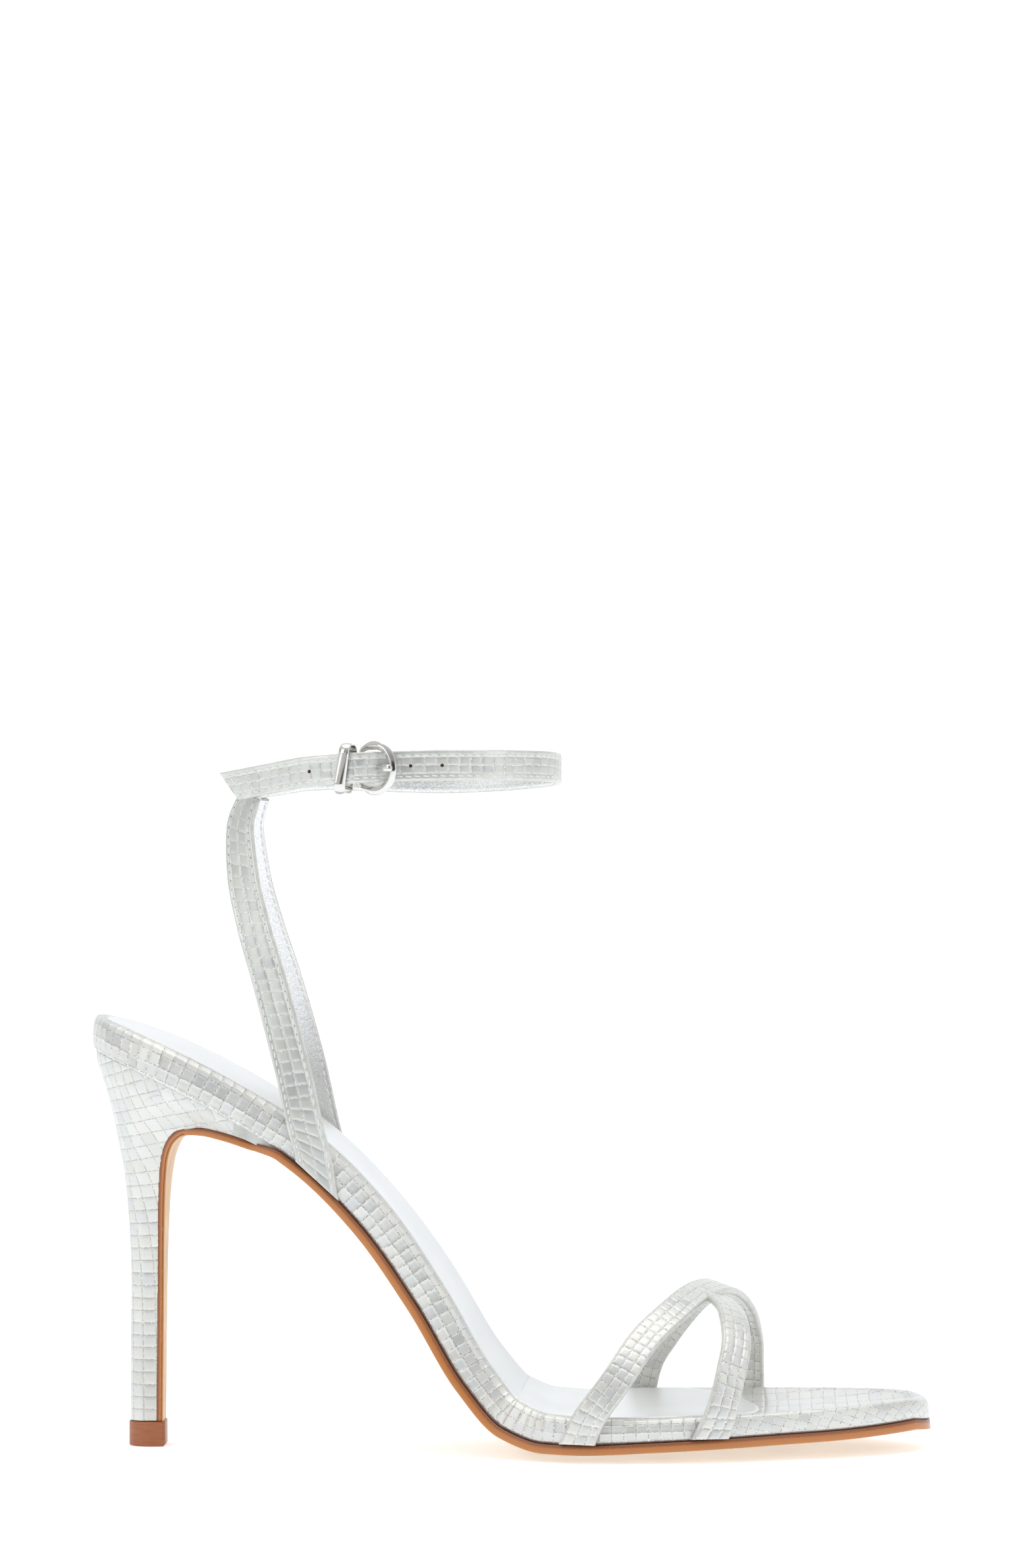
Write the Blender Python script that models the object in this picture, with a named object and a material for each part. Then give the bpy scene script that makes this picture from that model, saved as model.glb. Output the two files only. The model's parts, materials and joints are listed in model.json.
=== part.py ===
"""A right strappy heeled sandal: sole, footbed, stiletto heel, crossed vamp straps, back strap and a
buckled ankle strap.

+X points to the toe, -Y to the outer side of the foot, +Z up, and the shoe stands on Z = 0.
All lengths are in metres. Tables hold their lengths as shares of the sizes they are named for.
"""

import math

import bmesh
import bpy
import numpy as np

# Sole and footbed
SOLE_RUN = 0.213
SEAT_HEIGHT = 0.1013
BALL_WIDTH = 0.077
SEAT_ROUND = 0.027
TOE_ROUND = 0.030
CROWN = 0.0024
ARCH_LIFT = 0.0019
SEAT_UPRIGHT = 0.030
FOOTBED_THICKNESS = 0.0086
FOOTBED_DISH = 0.0008
OUTSOLE_THICKNESS = 0.0021
OUTSOLE_EDGE = 0.0005
OUTSOLE_BEVEL = 0.0004
BREAST_COVER_THICKNESS = 0.0013
SOCK_THICKNESS = 0.0006
SOCK_INSET = 0.0023
SOCK_REACH = 0.170
SOCK_ROUND = 0.024

# Heel
HEEL_SEAT_LENGTH = 0.0436
HEEL_SEAT_HALF_WIDTH = 0.0246
STEM_HALF_WIDTH = 0.0046
TIP_HEIGHT = 0.0063
TIP_MARGIN = 0.0004
TIP_BEVEL = 0.0004
SHANK_MEETS_SOLE = 0.0490

# Straps
VAMP_WIDTH = 0.0077
VAMP_FOOT_WIDER = 1.12
VAMP_FOOT_REACH = 1.6
VAMP_THICKNESS = 0.0019
VAMP_HEIGHT = 0.0406
VAMP_OVERLAP = 0.0002
INSTEP_SLOPE = 0.36
BACK_STRAP_WIDTH = 0.0090
BACK_STRAP_THICKNESS = 0.0014
ANKLE_STRAP_WIDTH = 0.0077
ANKLE_STRAP_THICKNESS = 0.0013
ANKLE_HEIGHT = 0.1712
ANKLE_LENGTH = 0.0806
ANKLE_WIDTH = 0.0560
ANKLE_MIDDLE = 0.0785
ANKLE_RISE = 0.0030
ANKLE_TILT = 0.0017
TAIL_LENGTH = 0.0358
TAIL_STRAIGHT_FROM = 0.0150
TAIL_CUT = 0.0042
TAIL_DROP = 0.0003
FOLD_LENGTH = 0.0125
HOLE_SPACING = 0.0082
HOLE_RADIUS = 0.0010
HOLES_IN_FRONT = 2
HOLES_BEHIND = 2
CASING_HALF_REACH = 0.0105
CASING_WALL = 0.0006
CASING_STATIONS = 13
FOLD_WIDTH_SHARE = 0.78

# Buckle
BAR_FROM_MIDDLE = 0.0082
BAR_RADIUS = 0.0007
RING_DEPTH = 0.0084
RING_HALF_HEIGHT = 0.0057
RING_SECTION_WIDTH = 0.0023
RING_SECTION_THICKNESS = 0.0016
PRONG_WIDTH = 0.0018
PRONG_THICKNESS = 0.0010
KEEPER_HEIGHT = 0.0130
KEEPER_WIDTH = 0.0028
KEEPER_WALL = 0.0008
KEEPER_BEHIND_BAR = 0.0039
KEEPER_LEAN = math.radians(7)
KEEPER_CORNER = 0.0022
PRONG_HOLE_AHEAD = 0.0039
PRONG_HOLE_GAP = 0.0007

# Every two pieces that meet keep this gap, and a little more where both are bent
GAP = 0.0003
COVER_GAP = 0.0004
STRAP_GAP = 0.0005

# Side curve and plan of the last, from the back of the seat to the tip of the toe.
# along: share of SOLE_RUN. rise: underside of the footbed, share of SEAT_HEIGHT.
# half, aside: half width and its middle's shift to the inner side, shares of BALL_WIDTH.
# crown: share of CROWN. thick: share of FOOTBED_THICKNESS. lift: how far the inner side is raised
# under the arch, share of ARCH_LIFT.
LAST_COLUMNS = ("along", "rise", "half", "aside", "crown", "thick", "lift")
LAST = (
    (0.000, 1.000, 0.331, 0.000, 0.00, 1.07, 0.00),
    (0.060, 0.949, 0.331, 0.000, 0.00, 1.06, 0.00),
    (0.120, 0.890, 0.331, 0.000, 0.00, 1.04, 0.00),
    (0.188, 0.812, 0.331, 0.000, 0.05, 1.03, 0.00),
    (0.258, 0.714, 0.312, -0.010, 0.15, 1.02, 0.00),
    (0.329, 0.563, 0.273, -0.032, 0.25, 1.00, 0.35),
    (0.390, 0.378, 0.251, -0.045, 0.35, 0.97, 1.00),
    (0.446, 0.183, 0.286, -0.045, 0.55, 0.95, 1.00),
    (0.493, 0.079, 0.351, -0.039, 0.80, 0.93, 0.75),
    (0.545, 0.0460, 0.425, -0.029, 0.95, 0.86, 0.30),
    (0.587, 0.0445, 0.471, -0.016, 1.00, 0.80, 0.00),
    (0.634, 0.0480, 0.495, -0.002, 1.00, 0.74, 0.00),
    (0.681, 0.0525, 0.497, 0.010, 1.00, 0.70, 0.00),
    (0.728, 0.0565, 0.483, 0.018, 0.95, 0.69, 0.00),
    (0.775, 0.0605, 0.455, 0.026, 0.90, 0.68, 0.00),
    (0.822, 0.0645, 0.413, 0.032, 0.80, 0.67, 0.00),
    (0.892, 0.0700, 0.348, 0.036, 0.65, 0.67, 0.00),
    (1.000, 0.0850, 0.286, 0.039, 0.50, 0.65, 0.00),
)

# The outsole is a thin cover on the heel's front up to the first share of its length, and has its
# full thickness from the second.
COVER_SHARE = 0.15
SOLE_SHARE = 0.44

# Sections of the heel from the tip up. back and front: share of HEEL_SEAT_LENGTH behind the seat's
# back edge. Rises: share of SEAT_HEIGHT. half: share of the way from STEM_HALF_WIDTH to
# HEEL_SEAT_HALF_WIDTH. The top section is laid on the footbed instead of using its rises.
HEEL_COLUMNS = ("back", "back_rise", "front", "front_rise", "half")
HEEL = (
    (0.218, 0.065, 0.376, 0.065, 0.00),
    (0.218, 0.257, 0.380, 0.257, 0.01),
    (0.220, 0.420, 0.384, 0.420, 0.04),
    (0.211, 0.538, 0.388, 0.535, 0.09),
    (0.193, 0.642, 0.394, 0.632, 0.17),
    (0.176, 0.701, 0.404, 0.691, 0.26),
    (0.154, 0.752, 0.422, 0.738, 0.37),
    (0.130, 0.806, 0.464, 0.778, 0.50),
    (0.104, 0.855, 0.540, 0.804, 0.64),
    (0.075, 0.901, 0.662, 0.809, 0.78),
    (0.046, 0.940, 0.815, 0.797, 0.90),
    (0.024, 0.969, 0.975, 0.776, 0.97),
    (0.016, 0.980, 1.000, 0.800, 1.00),
)
BREAST_SHARE = 0.95
BELLY_SHARE = 0.57

# Routes of the vamp straps over the foot. turn: degrees around the foot from the outer side of the
# footbed's top to the inner side. along: share of SOLE_RUN. The first and last rows are the ends
# at the outsole.
STRAP_COLUMNS = ("turn", "along")
TOP_STRAP = (
    (-10, 0.585),
    (0, 0.599),
    (20, 0.633),
    (40, 0.663),
    (60, 0.699),
    (90, 0.739),
    (115, 0.763),
    (140, 0.780),
    (160, 0.785),
    (180, 0.784),
    (190, 0.782),
)
UNDER_STRAP = (
    (-10, 0.740),
    (0, 0.751),
    (20, 0.763),
    (40, 0.770),
    (60, 0.765),
    (75, 0.751),
    (90, 0.736),
    (110, 0.723),
    (130, 0.705),
    (150, 0.681),
    (165, 0.662),
    (180, 0.652),
    (190, 0.648),
)
STRAP_TURN_STEP = 7.5

# How square the straps' edges are: flat share of the thickness
CASING_EDGE = 0.6
LEG_EDGE = 0.5
ANKLE_EDGE = 0.6
PRONG_EDGE = 0.4
KEEPER_EDGE = 0.5
HOLLOW_LONGER = 1.25
STRAP_END_TURN = 10

# One leg of the back strap from the outsole up to the ankle strap. rise: share of the height
# between them. along: share of SOLE_RUN. spread: share of the footbed's half width at the leg's
# foot. face: degrees that the leg's outer face has turned towards the heel. wide: share of
# BACK_STRAP_WIDTH.
LEG_COLUMNS = ("rise", "along", "spread", "face", "wide")
LEG = (
    (0.00, 0.2775, 1.000, 0, 1.00),
    (0.06, 0.2728, 1.000, 0, 1.00),
    (0.14, 0.2640, 1.000, 0, 1.00),
    (0.26, 0.2518, 0.975, 4, 1.00),
    (0.38, 0.2375, 0.920, 8, 1.00),
    (0.52, 0.2197, 0.830, 13, 1.00),
    (0.66, 0.1998, 0.715, 19, 1.00),
    (0.80, 0.1845, 0.590, 27, 1.00),
    (0.92, 0.1793, 0.475, 36, 0.96),
    (1.00, 0.1880, 0.410, 44, 0.90),
)
LEG_STEPS = 24
LEG_FOOT_CLOSER = 1.4
LEG_TIE = 4
LEG_BEHIND_LOOP = 0.0008
LEG_FOOT_REACH = 2.4
LEG_EDGE_SHIFT = 0.45
LEG_BESIDE_FOOTBED = 0.20
LEG_LEAVES_FOOTBED = 0.45

# Edge of the footbed in section, from its underside up. inset: share of FOOTBED_THICKNESS in from
# the outline. up: share of the thickness.
FOOTBED_EDGE = (
    (0.200, 0.000),
    (0.080, 0.060),
    (0.015, 0.220),
    (0.000, 0.480),
    (0.030, 0.740),
    (0.110, 0.920),
    (0.270, 1.000),
)
SOCK_EDGE = ((0.10, 0.0), (0.0, 0.5), (0.3, 1.0))

# Where the boards' faces have rows of points, shares of the way across, and the furthest that two
# of their stations lie apart
FACE_ROWS = (0.16, 0.38, 0.62, 0.84)
BOARD_STATION = 0.012
SOLE_STATION = 0.016

# Over how much of the last a slope is measured
SLOPE_STEP = 0.002

# Height of the ankle loop. ahead: share of half its length ahead of its middle. rise: share of
# ANKLE_RISE over ANKLE_HEIGHT. tilt: share of ANKLE_TILT by which its outer side is higher.
ANKLE_COLUMNS = ("ahead", "rise", "tilt")
ANKLE_LOOP = (
    (-1.00, -1.00, 0.00),
    (-0.85, -0.68, 0.10),
    (-0.61, -0.10, 0.24),
    (-0.45, 0.03, 0.36),
    (-0.15, 0.08, 0.70),
    (0.36, 0.13, 1.00),
    (1.00, 0.40, 1.00),
)

# Where the ankle strap runs beside its loop, as it leaves and meets the bar. behind: distance
# behind the bar in bar radii. lift: distance out from the loop in strap thicknesses.
FOLD_BACK = ((8.0, -1.26), (5.0, -1.40), (2.4, -1.76))
LEAVES_BAR = ((2.4, 0.60), (6.0, 0.20), (11.0, 0.0))
MEETS_BAR = ((-16.0, 0.00), (-11.0, -0.10), (-8.4, -0.10), (-5.6, 0.42), (-2.8, 1.20), (0.0, 1.90))
TAIL_OVER = ((3.0, 1.95), (7.0, 1.62), (12.0, 1.36))
BAR_LIFT = -0.62
ROUTE_STEPS = 2
BAR_TURNS = 7
LOOP_STEPS = 34
SPAN_STEPS = 6
TAIL_STEPS = 6
TAIL_SKEW = (1.0, 0.6, 0.2)

# The buckle ring. Arm: the way from the arc to the bar, shares of RING_DEPTH and of
# RING_HALF_HEIGHT. Bar: places on it. Section: shares of its half width and half thickness.
RING_WAIST = 0.46
RING_ARM = ((0.24, 0.975), (0.12, 0.925), (0.035, 0.840))
RING_BAR = (0.66, 0.33, 0.0, -0.33, -0.66)
RING_SECTION = (
    (-1.0, -0.3),
    (-0.7, -1.0),
    (0.7, -1.0),
    (1.0, -0.3),
    (0.95, 0.2),
    (0.0, 1.0),
    (-0.95, 0.2),
)
RING_LIFT = 1.85

# The prong from the bar's front to the ring, ahead and out in shares of RING_DEPTH.
PRONG_ROUTE = (
    (0.304, 0.020),
    (0.400, 0.070),
    (0.490, 0.150),
    (0.580, 0.262),
    (0.670, 0.385),
    (0.780, 0.520),
    (0.900, 0.600),
    (1.040, 0.614),
)
KEEPER_INNER_LIFT = -2.15
KEEPER_OUTER_LIFT = 2.60

COLOURS = {
    "silver": ((0.80, 0.80, 0.79), 0.32, 0.75),
    "sock": ((0.78, 0.79, 0.79), 0.42, 0.55),
    "tan": ((0.48, 0.21, 0.075), 0.50, 0.0),
    "tip": ((0.36, 0.15, 0.07), 0.45, 0.0),
    "metal": ((0.82, 0.82, 0.83), 0.12, 1.0),
}


def unit(vectors):
    """Vectors scaled to length 1."""
    vectors = np.asarray(vectors, float)
    return vectors / np.maximum(np.linalg.norm(vectors, axis=-1, keepdims=True), 1e-12)


def run_length(points):
    """Length run along a line of points, at each of them."""
    return np.concatenate([[0], np.cumsum(np.linalg.norm(np.diff(points, axis=0), axis=1))])


def column(table, columns, name):
    """One named column of a table as an array."""
    return np.array([row[columns.index(name)] for row in table], float)


def smooth(xs, ys, at):
    """A cubic through the points that never overshoots between them."""
    steps = np.diff(xs)
    slopes = np.diff(ys) / steps
    tangents = np.empty_like(ys)
    tangents[0] = slopes[0]
    tangents[-1] = slopes[-1]
    for i in range(1, len(xs) - 1):
        if slopes[i - 1] * slopes[i] <= 0:
            tangents[i] = 0.0
        else:
            first = 2 * steps[i] + steps[i - 1]
            second = steps[i] + 2 * steps[i - 1]
            tangents[i] = (first + second) / (first / slopes[i - 1] + second / slopes[i])
    at = np.clip(at, xs[0], xs[-1])
    i = np.clip(np.searchsorted(xs, at, side="right") - 1, 0, len(xs) - 2)
    t = (at - xs[i]) / steps[i]
    return (
        ys[i] * (1 + 2 * t) * (1 - t) ** 2
        + tangents[i] * steps[i] * t * (1 - t) ** 2
        + ys[i + 1] * t**2 * (3 - 2 * t)
        + tangents[i + 1] * steps[i] * t**2 * (t - 1)
    )


def curve_through(points, per_span):
    """A round curve through the points, centripetal so that uneven points don't loop."""
    points = np.asarray(points, float)
    padded = np.vstack([2 * points[0] - points[1], points, 2 * points[-1] - points[-2]])
    curve = []
    for i in range(1, len(padded) - 2):
        p0, p1, p2, p3 = padded[i - 1 : i + 3]
        t0 = 0.0
        t1 = t0 + math.sqrt(np.linalg.norm(p1 - p0))
        t2 = t1 + math.sqrt(np.linalg.norm(p2 - p1))
        t3 = t2 + math.sqrt(np.linalg.norm(p3 - p2))
        for t in np.linspace(t1, t2, per_span, endpoint=False):
            a1 = (t1 - t) / (t1 - t0) * p0 + (t - t0) / (t1 - t0) * p1
            a2 = (t2 - t) / (t2 - t1) * p1 + (t - t1) / (t2 - t1) * p2
            a3 = (t3 - t) / (t3 - t2) * p2 + (t - t2) / (t3 - t2) * p3
            b1 = (t2 - t) / (t2 - t0) * a1 + (t - t0) / (t2 - t0) * a2
            b2 = (t3 - t) / (t3 - t1) * a2 + (t - t1) / (t3 - t1) * a3
            curve.append((t2 - t) / (t2 - t1) * b1 + (t - t1) / (t2 - t1) * b2)
    curve.append(points[-1])
    return np.array(curve)


def last(name, along):
    """A column of the last's table at a distance along the sole, at its real size."""
    sizes = {
        "rise": SEAT_HEIGHT,
        "half": BALL_WIDTH,
        "aside": BALL_WIDTH,
        "crown": CROWN,
        "thick": FOOTBED_THICKNESS,
        "lift": ARCH_LIFT,
    }
    shares = smooth(column(LAST, LAST_COLUMNS, "along"), column(LAST, LAST_COLUMNS, name), along / SOLE_RUN)
    return shares * sizes[name]


def end_round(along, seat=SEAT_ROUND, toe=TOE_ROUND, reach=SOLE_RUN):
    """How much of the half width is left as the outline rounds off at the seat and at the toe."""
    at_seat = np.clip((seat - along) / seat, 0, 1)
    at_toe = np.clip((along - (reach - toe)) / toe, 0, 1)
    return np.sqrt(np.clip(1 - at_seat**2, 0, 1)) * np.sqrt(np.clip(1 - at_toe**2, 0, 1))


def outline_half(along):
    """Half width of the footbed's outline."""
    return last("half", along) * end_round(along)


class Ribbon:
    """A bent strip of surface that boards are laid on: a side curve with its width and its bends."""

    def __init__(self, curve, half, aside, crown, lift, upright=None):
        self.length = run_length(curve)
        self.curve = curve
        tangent = unit(np.gradient(curve, self.length, axis=0))
        self.normal = np.stack([-tangent[:, 1], tangent[:, 0]], 1)
        if upright is not None:
            self.normal = unit(self.normal * (1 - upright)[:, None] + np.outer(upright, (0.0, 1.0)))
        self.half = half
        self.aside = aside
        self.crown = crown
        self.lift = lift

    def read(self, values, at):
        """Values along the ribbon at the given lengths."""
        return np.interp(at, self.length, values)

    def place(self, at, across, up):
        """Points in space from a length along, a distance across and a height above the ribbon."""
        breadth = np.maximum(self.read(self.broad(), at), 1e-4)
        side = np.clip((across - self.read(self.aside, at)) / breadth, -1, 1)
        up = up + self.read(self.crown, at) * side**2
        up = up + self.read(self.lift, at) * ((1 + side) / 2) ** 2
        x = self.read(self.curve[:, 0], at) + self.read(self.normal[:, 0], at) * up
        z = self.read(self.curve[:, 1], at) + self.read(self.normal[:, 1], at) * up
        return np.stack([x, across, z], 1)

    def broad(self):
        """Half width without the rounding of the ends."""
        return np.maximum(self.half, last("half", self.curve[:, 0]) * 0.5)

    def outline(self, stations):
        """The outer and the inner side of the outline at the stations."""
        half = self.read(self.half, stations)
        aside = self.read(self.aside, stations)
        return np.stack([stations, aside - half], 1), np.stack([stations, aside + half], 1)


def pick_stations(ribbon, longest, most_turn):
    """Lengths along the ribbon, closer where its side curve or its outline bends."""
    side = np.unwrap(np.arctan2(ribbon.normal[:, 1], ribbon.normal[:, 0]))
    edges = np.arctan2(np.gradient(ribbon.half, ribbon.length), 1.0)
    kept = [0]
    turned = 0.0
    for i in range(1, len(side)):
        turned += abs(side[i] - side[i - 1]) + abs(edges[i] - edges[i - 1])
        if turned > most_turn or ribbon.length[i] - ribbon.length[kept[-1]] > longest:
            kept.append(i)
            turned = 0.0
    if kept[-1] != len(side) - 1:
        kept.append(len(side) - 1)
    return ribbon.length[kept]


def inset_line(line, inset, towards):
    """An outline's side moved in by inset, square to itself."""
    tangent = unit(np.gradient(line, axis=0))
    return line + np.stack([-tangent[:, 1], tangent[:, 0]], 1) * inset * towards


def board(name, ribbon, stations, layers, across, finish, dish=0.0, floor=None):
    """A solid board on a ribbon, from edge layers of inset and height and rows across its faces."""
    outer, inner = ribbon.outline(stations)
    pointed = [abs(outer[i, 1] - inner[i, 1]) < 1e-6 for i in (0, -1)]
    last_row = len(stations) - 1
    model = bmesh.new()

    def add(at, sides, up):
        points = ribbon.place(np.array([at]), np.array([sides]), np.array([up]))[0]
        if floor is not None:
            points[2] = max(points[2], floor)
        return model.verts.new(points)

    def inset_sides(inset):
        sides = inset_line(outer, inset, 1), inset_line(inner, inset, -1)
        for end, sign in ((0, 1), (-1, -1)):
            for side in sides:
                side[end, 0] = outer[end, 0] + sign * inset
                if pointed[end]:
                    side[end, 1] = outer[end, 1]
        return sides

    rings = []
    for inset, height in layers:
        left, right = inset_sides(inset)
        ring = []
        for i in range(last_row + 1):
            up = height(stations[i])
            first = add(left[i, 0], left[i, 1], up)
            sharp = (i == 0 and pointed[0]) or (i == last_row and pointed[1])
            ring.append((first, first if sharp else add(right[i, 0], right[i, 1], up)))
        rings.append(ring)

    def face(*corners):
        unique = []
        for corner in corners:
            if corner not in unique:
                unique.append(corner)
        if len(unique) > 2:
            model.faces.new(unique)

    for low, high in zip(rings, rings[1:]):
        for i in range(last_row):
            face(low[i][0], low[i + 1][0], high[i + 1][0], high[i][0])
            face(low[i + 1][1], low[i][1], high[i][1], high[i + 1][1])

    faces_rows = []
    for (inset, height), ring, depth in ((layers[0], rings[0], 0.0), (layers[-1], rings[-1], dish)):
        left, right = inset_sides(inset)
        rows = []
        for i in range(last_row + 1):
            row = [ring[i][0]]
            if ring[i][0] is not ring[i][1]:
                for share in across:
                    at, side = left[i] + (right[i] - left[i]) * share
                    dip = depth * (1 - (2 * share - 1) ** 2)
                    row.append(add(at, side, height(stations[i]) - dip))
                row.append(ring[i][1])
            rows.append(row)
        faces_rows.append(rows)
        for here, there in zip(rows, rows[1:]):
            if len(here) == 1 or len(there) == 1:
                tip, row = (here[0], there) if len(here) == 1 else (there[0], here)
                for a, b in zip(row, row[1:]):
                    face(tip, a, b)
            else:
                for i in range(len(here) - 1):
                    face(here[i], here[i + 1], there[i + 1], there[i])

    for i, sharp in ((0, pointed[0]), (last_row, pointed[1])):
        if not sharp:
            middle = rings[1:-1]
            end = faces_rows[0][i] + [ring[i][1] for ring in middle]
            end += faces_rows[1][i][::-1] + [ring[i][0] for ring in middle[::-1]]
            face(*end)
    return finish_mesh(name, model, finish)


def material(name):
    """The plain finish of a sub-part."""
    colour, roughness, metallic = COLOURS[name]
    made = bpy.data.materials.get(name) or bpy.data.materials.new(name)
    made.use_nodes = True
    shader = made.node_tree.nodes["Principled BSDF"]
    shader.inputs["Base Color"].default_value = (*colour, 1.0)
    shader.inputs["Roughness"].default_value = roughness
    shader.inputs["Metallic"].default_value = metallic
    return made


def finish_mesh(name, model, finish):
    """Turn a bmesh into a named object with its faces out, smooth sides and its own finish."""
    bmesh.ops.recalc_face_normals(model, faces=model.faces)
    mesh = bpy.data.meshes.new(name)
    model.to_mesh(mesh)
    model.free()
    mesh.shade_smooth()
    mesh.set_sharp_from_angle(angle=math.radians(35))
    mesh.materials.append(material(finish))
    made = bpy.data.objects.new(name, mesh)
    bpy.context.scene.collection.objects.link(made)
    return made


def strap_section(width, thickness, edge=0.30):
    """A strap's section with folded, rounded edges: across and out, counted around."""
    half = width / 2
    deep = thickness / 2
    return np.array(
        [
            (-half, -deep * edge),
            (-half + deep * 0.5, -deep),
            (half - deep * 0.5, -deep),
            (half, -deep * edge),
            (half, deep * edge),
            (half - deep * 0.5, deep),
            (-half + deep * 0.5, deep),
            (-half, deep * edge),
        ]
    )


def loft(name, rings, finish, closed=False):
    """A solid through rings of points, with flat ends unless it closes on itself."""
    model = bmesh.new()
    loops = [[model.verts.new(point) for point in ring] for ring in rings]
    pairs = list(zip(loops, loops[1:]))
    if closed:
        pairs.append((loops[-1], loops[0]))
    count = len(loops[0])
    for here, there in pairs:
        for i in range(count):
            j = (i + 1) % count
            model.faces.new((here[i], here[j], there[j], there[i]))
    if not closed:
        model.faces.new(loops[0][::-1])
        model.faces.new(loops[-1])
    return finish_mesh(name, model, finish)


def sweep(name, path, outward, section_at, finish, slant=None, closed=False):
    """A strap along a path. section_at gives each station's section, slant its ends' skew."""
    path = np.asarray(path, float)
    if closed:
        tangents = unit(np.roll(path, -1, axis=0) - np.roll(path, 1, axis=0))
    else:
        tangents = unit(np.gradient(path, axis=0))
    outward = np.asarray(outward, float)
    outward = unit(outward - tangents * np.sum(outward * tangents, axis=1, keepdims=True))
    sides = np.cross(tangents, outward)
    rings = []
    for i, centre in enumerate(path):
        skew = 0.0 if slant is None else slant[i]
        ring = [
            centre + sides[i] * a + outward[i] * b + tangents[i] * a * skew for a, b in section_at(i)
        ]
        rings.append(ring)
    return loft(name, rings, finish, closed)


def combine(target, other, operation):
    """Add the other object to the target, or cut it away, and leave one object."""
    change = target.modifiers.new(operation.lower(), "BOOLEAN")
    change.operation = operation
    change.solver = "EXACT"
    change.object = other
    bpy.context.view_layer.update()
    graph = bpy.context.evaluated_depsgraph_get()
    mesh = bpy.data.meshes.new_from_object(target.evaluated_get(graph), depsgraph=graph)
    target.modifiers.clear()
    old = target.data
    target.data = mesh
    bpy.data.meshes.remove(old)
    bpy.data.objects.remove(other)
    return target


def footbed_ribbon():
    """The footbed's underside."""
    along = (1 - np.cos(np.linspace(0, math.pi, 601))) / 2 * SOLE_RUN
    curve = np.stack([along, last("rise", along) - last("crown", along)], 1)
    upright = np.clip(1 - along / SEAT_UPRIGHT, 0, 1)
    return Ribbon(
        curve, outline_half(along), last("aside", along), last("crown", along), last("lift", along), upright
    )


def heel_column(name):
    """A column of the heel's table at its real size."""
    sizes = {
        "back": HEEL_SEAT_LENGTH,
        "front": HEEL_SEAT_LENGTH,
        "back_rise": SEAT_HEIGHT,
        "front_rise": SEAT_HEIGHT,
        "half": HEEL_SEAT_HALF_WIDTH - STEM_HALF_WIDTH,
    }
    return column(HEEL, HEEL_COLUMNS, name) * sizes[name]


def outsole_ribbon():
    """Up the front of the heel, over its curve and along under the footbed to the toe."""
    fronts = np.stack([heel_column("front"), heel_column("front_rise")], 1)[:-1]
    halves = (STEM_HALF_WIDTH + heel_column("half")[:-1]) * BREAST_SHARE
    fronts[0, 1] = TIP_HEIGHT + GAP
    under = SHANK_MEETS_SOLE + (SOLE_RUN - SHANK_MEETS_SOLE) * np.sin(np.linspace(0, math.pi / 2, 120))
    sole = np.stack([under, last("rise", under) - last("crown", under)], 1)
    points = np.vstack([fronts, sole])
    curve = curve_through(points, SPAN_STEPS)
    places = np.arange(len(curve)) / SPAN_STEPS
    x = curve[:, 0]
    on_heel = places <= len(fronts) - 1
    full = outline_half(x) + OUTSOLE_EDGE
    heel_half = smooth(np.arange(len(halves)).astype(float), halves, places)
    blend = np.clip((x - fronts[-1, 0]) / (SHANK_MEETS_SOLE - fronts[-1, 0]), 0, 1)
    half = np.where(on_heel, heel_half, halves[-1] + (full - halves[-1]) * blend)
    half[-1] = 0.0
    aside = np.where(on_heel, 0.0, last("aside", x))
    crown = np.where(on_heel, 0.0, last("crown", x))
    lift = np.where(on_heel, 0.0, last("lift", x))
    return Ribbon(curve, half, aside, crown, lift)


def make_footbed(ribbon):
    """The wrapped insole board, rounded at its edges and a little dished under the foot."""

    def thick(at):
        return last("thick", ribbon.read(ribbon.curve[:, 0], at))

    layers = [
        (inset * FOOTBED_THICKNESS, lambda at, up=up: up * thick(at)) for inset, up in FOOTBED_EDGE
    ]
    stations = pick_stations(ribbon, BOARD_STATION, math.radians(7))
    return board("footbed", ribbon, stations, layers, FACE_ROWS, "silver", dish=FOOTBED_DISH)


def make_sock(ribbon):
    """The sock on the footbed, from the seat to a round front edge under the vamp straps."""
    along = ribbon.curve[:, 0]
    keep = along <= SOCK_REACH
    scale = end_round(
        along[keep] - SOCK_INSET, SEAT_ROUND - SOCK_INSET, SOCK_ROUND, SOCK_REACH - SOCK_INSET
    )
    half = (last("half", along[keep]) - SOCK_INSET) * scale
    start = np.argmax(half > 0) - 1
    half = half[start:]
    half[0] = 0.0
    half[-1] = 0.0
    kept = np.where(keep)[0][start:]
    sock = Ribbon(
        ribbon.curve[kept],
        half,
        ribbon.aside[kept],
        ribbon.crown[kept],
        ribbon.lift[kept],
        np.clip(1 - ribbon.curve[kept, 0] / SEAT_UPRIGHT, 0, 1),
    )

    def top(at):
        x = sock.read(sock.curve[:, 0], at)
        return last("thick", x) + GAP

    layers = [
        (inset * SOCK_THICKNESS, lambda at, up=up: top(at) + up * SOCK_THICKNESS)
        for inset, up in SOCK_EDGE
    ]
    stations = pick_stations(sock, BOARD_STATION, math.radians(12))
    return board("sock_lining", sock, stations, layers, FACE_ROWS, "sock")


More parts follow.
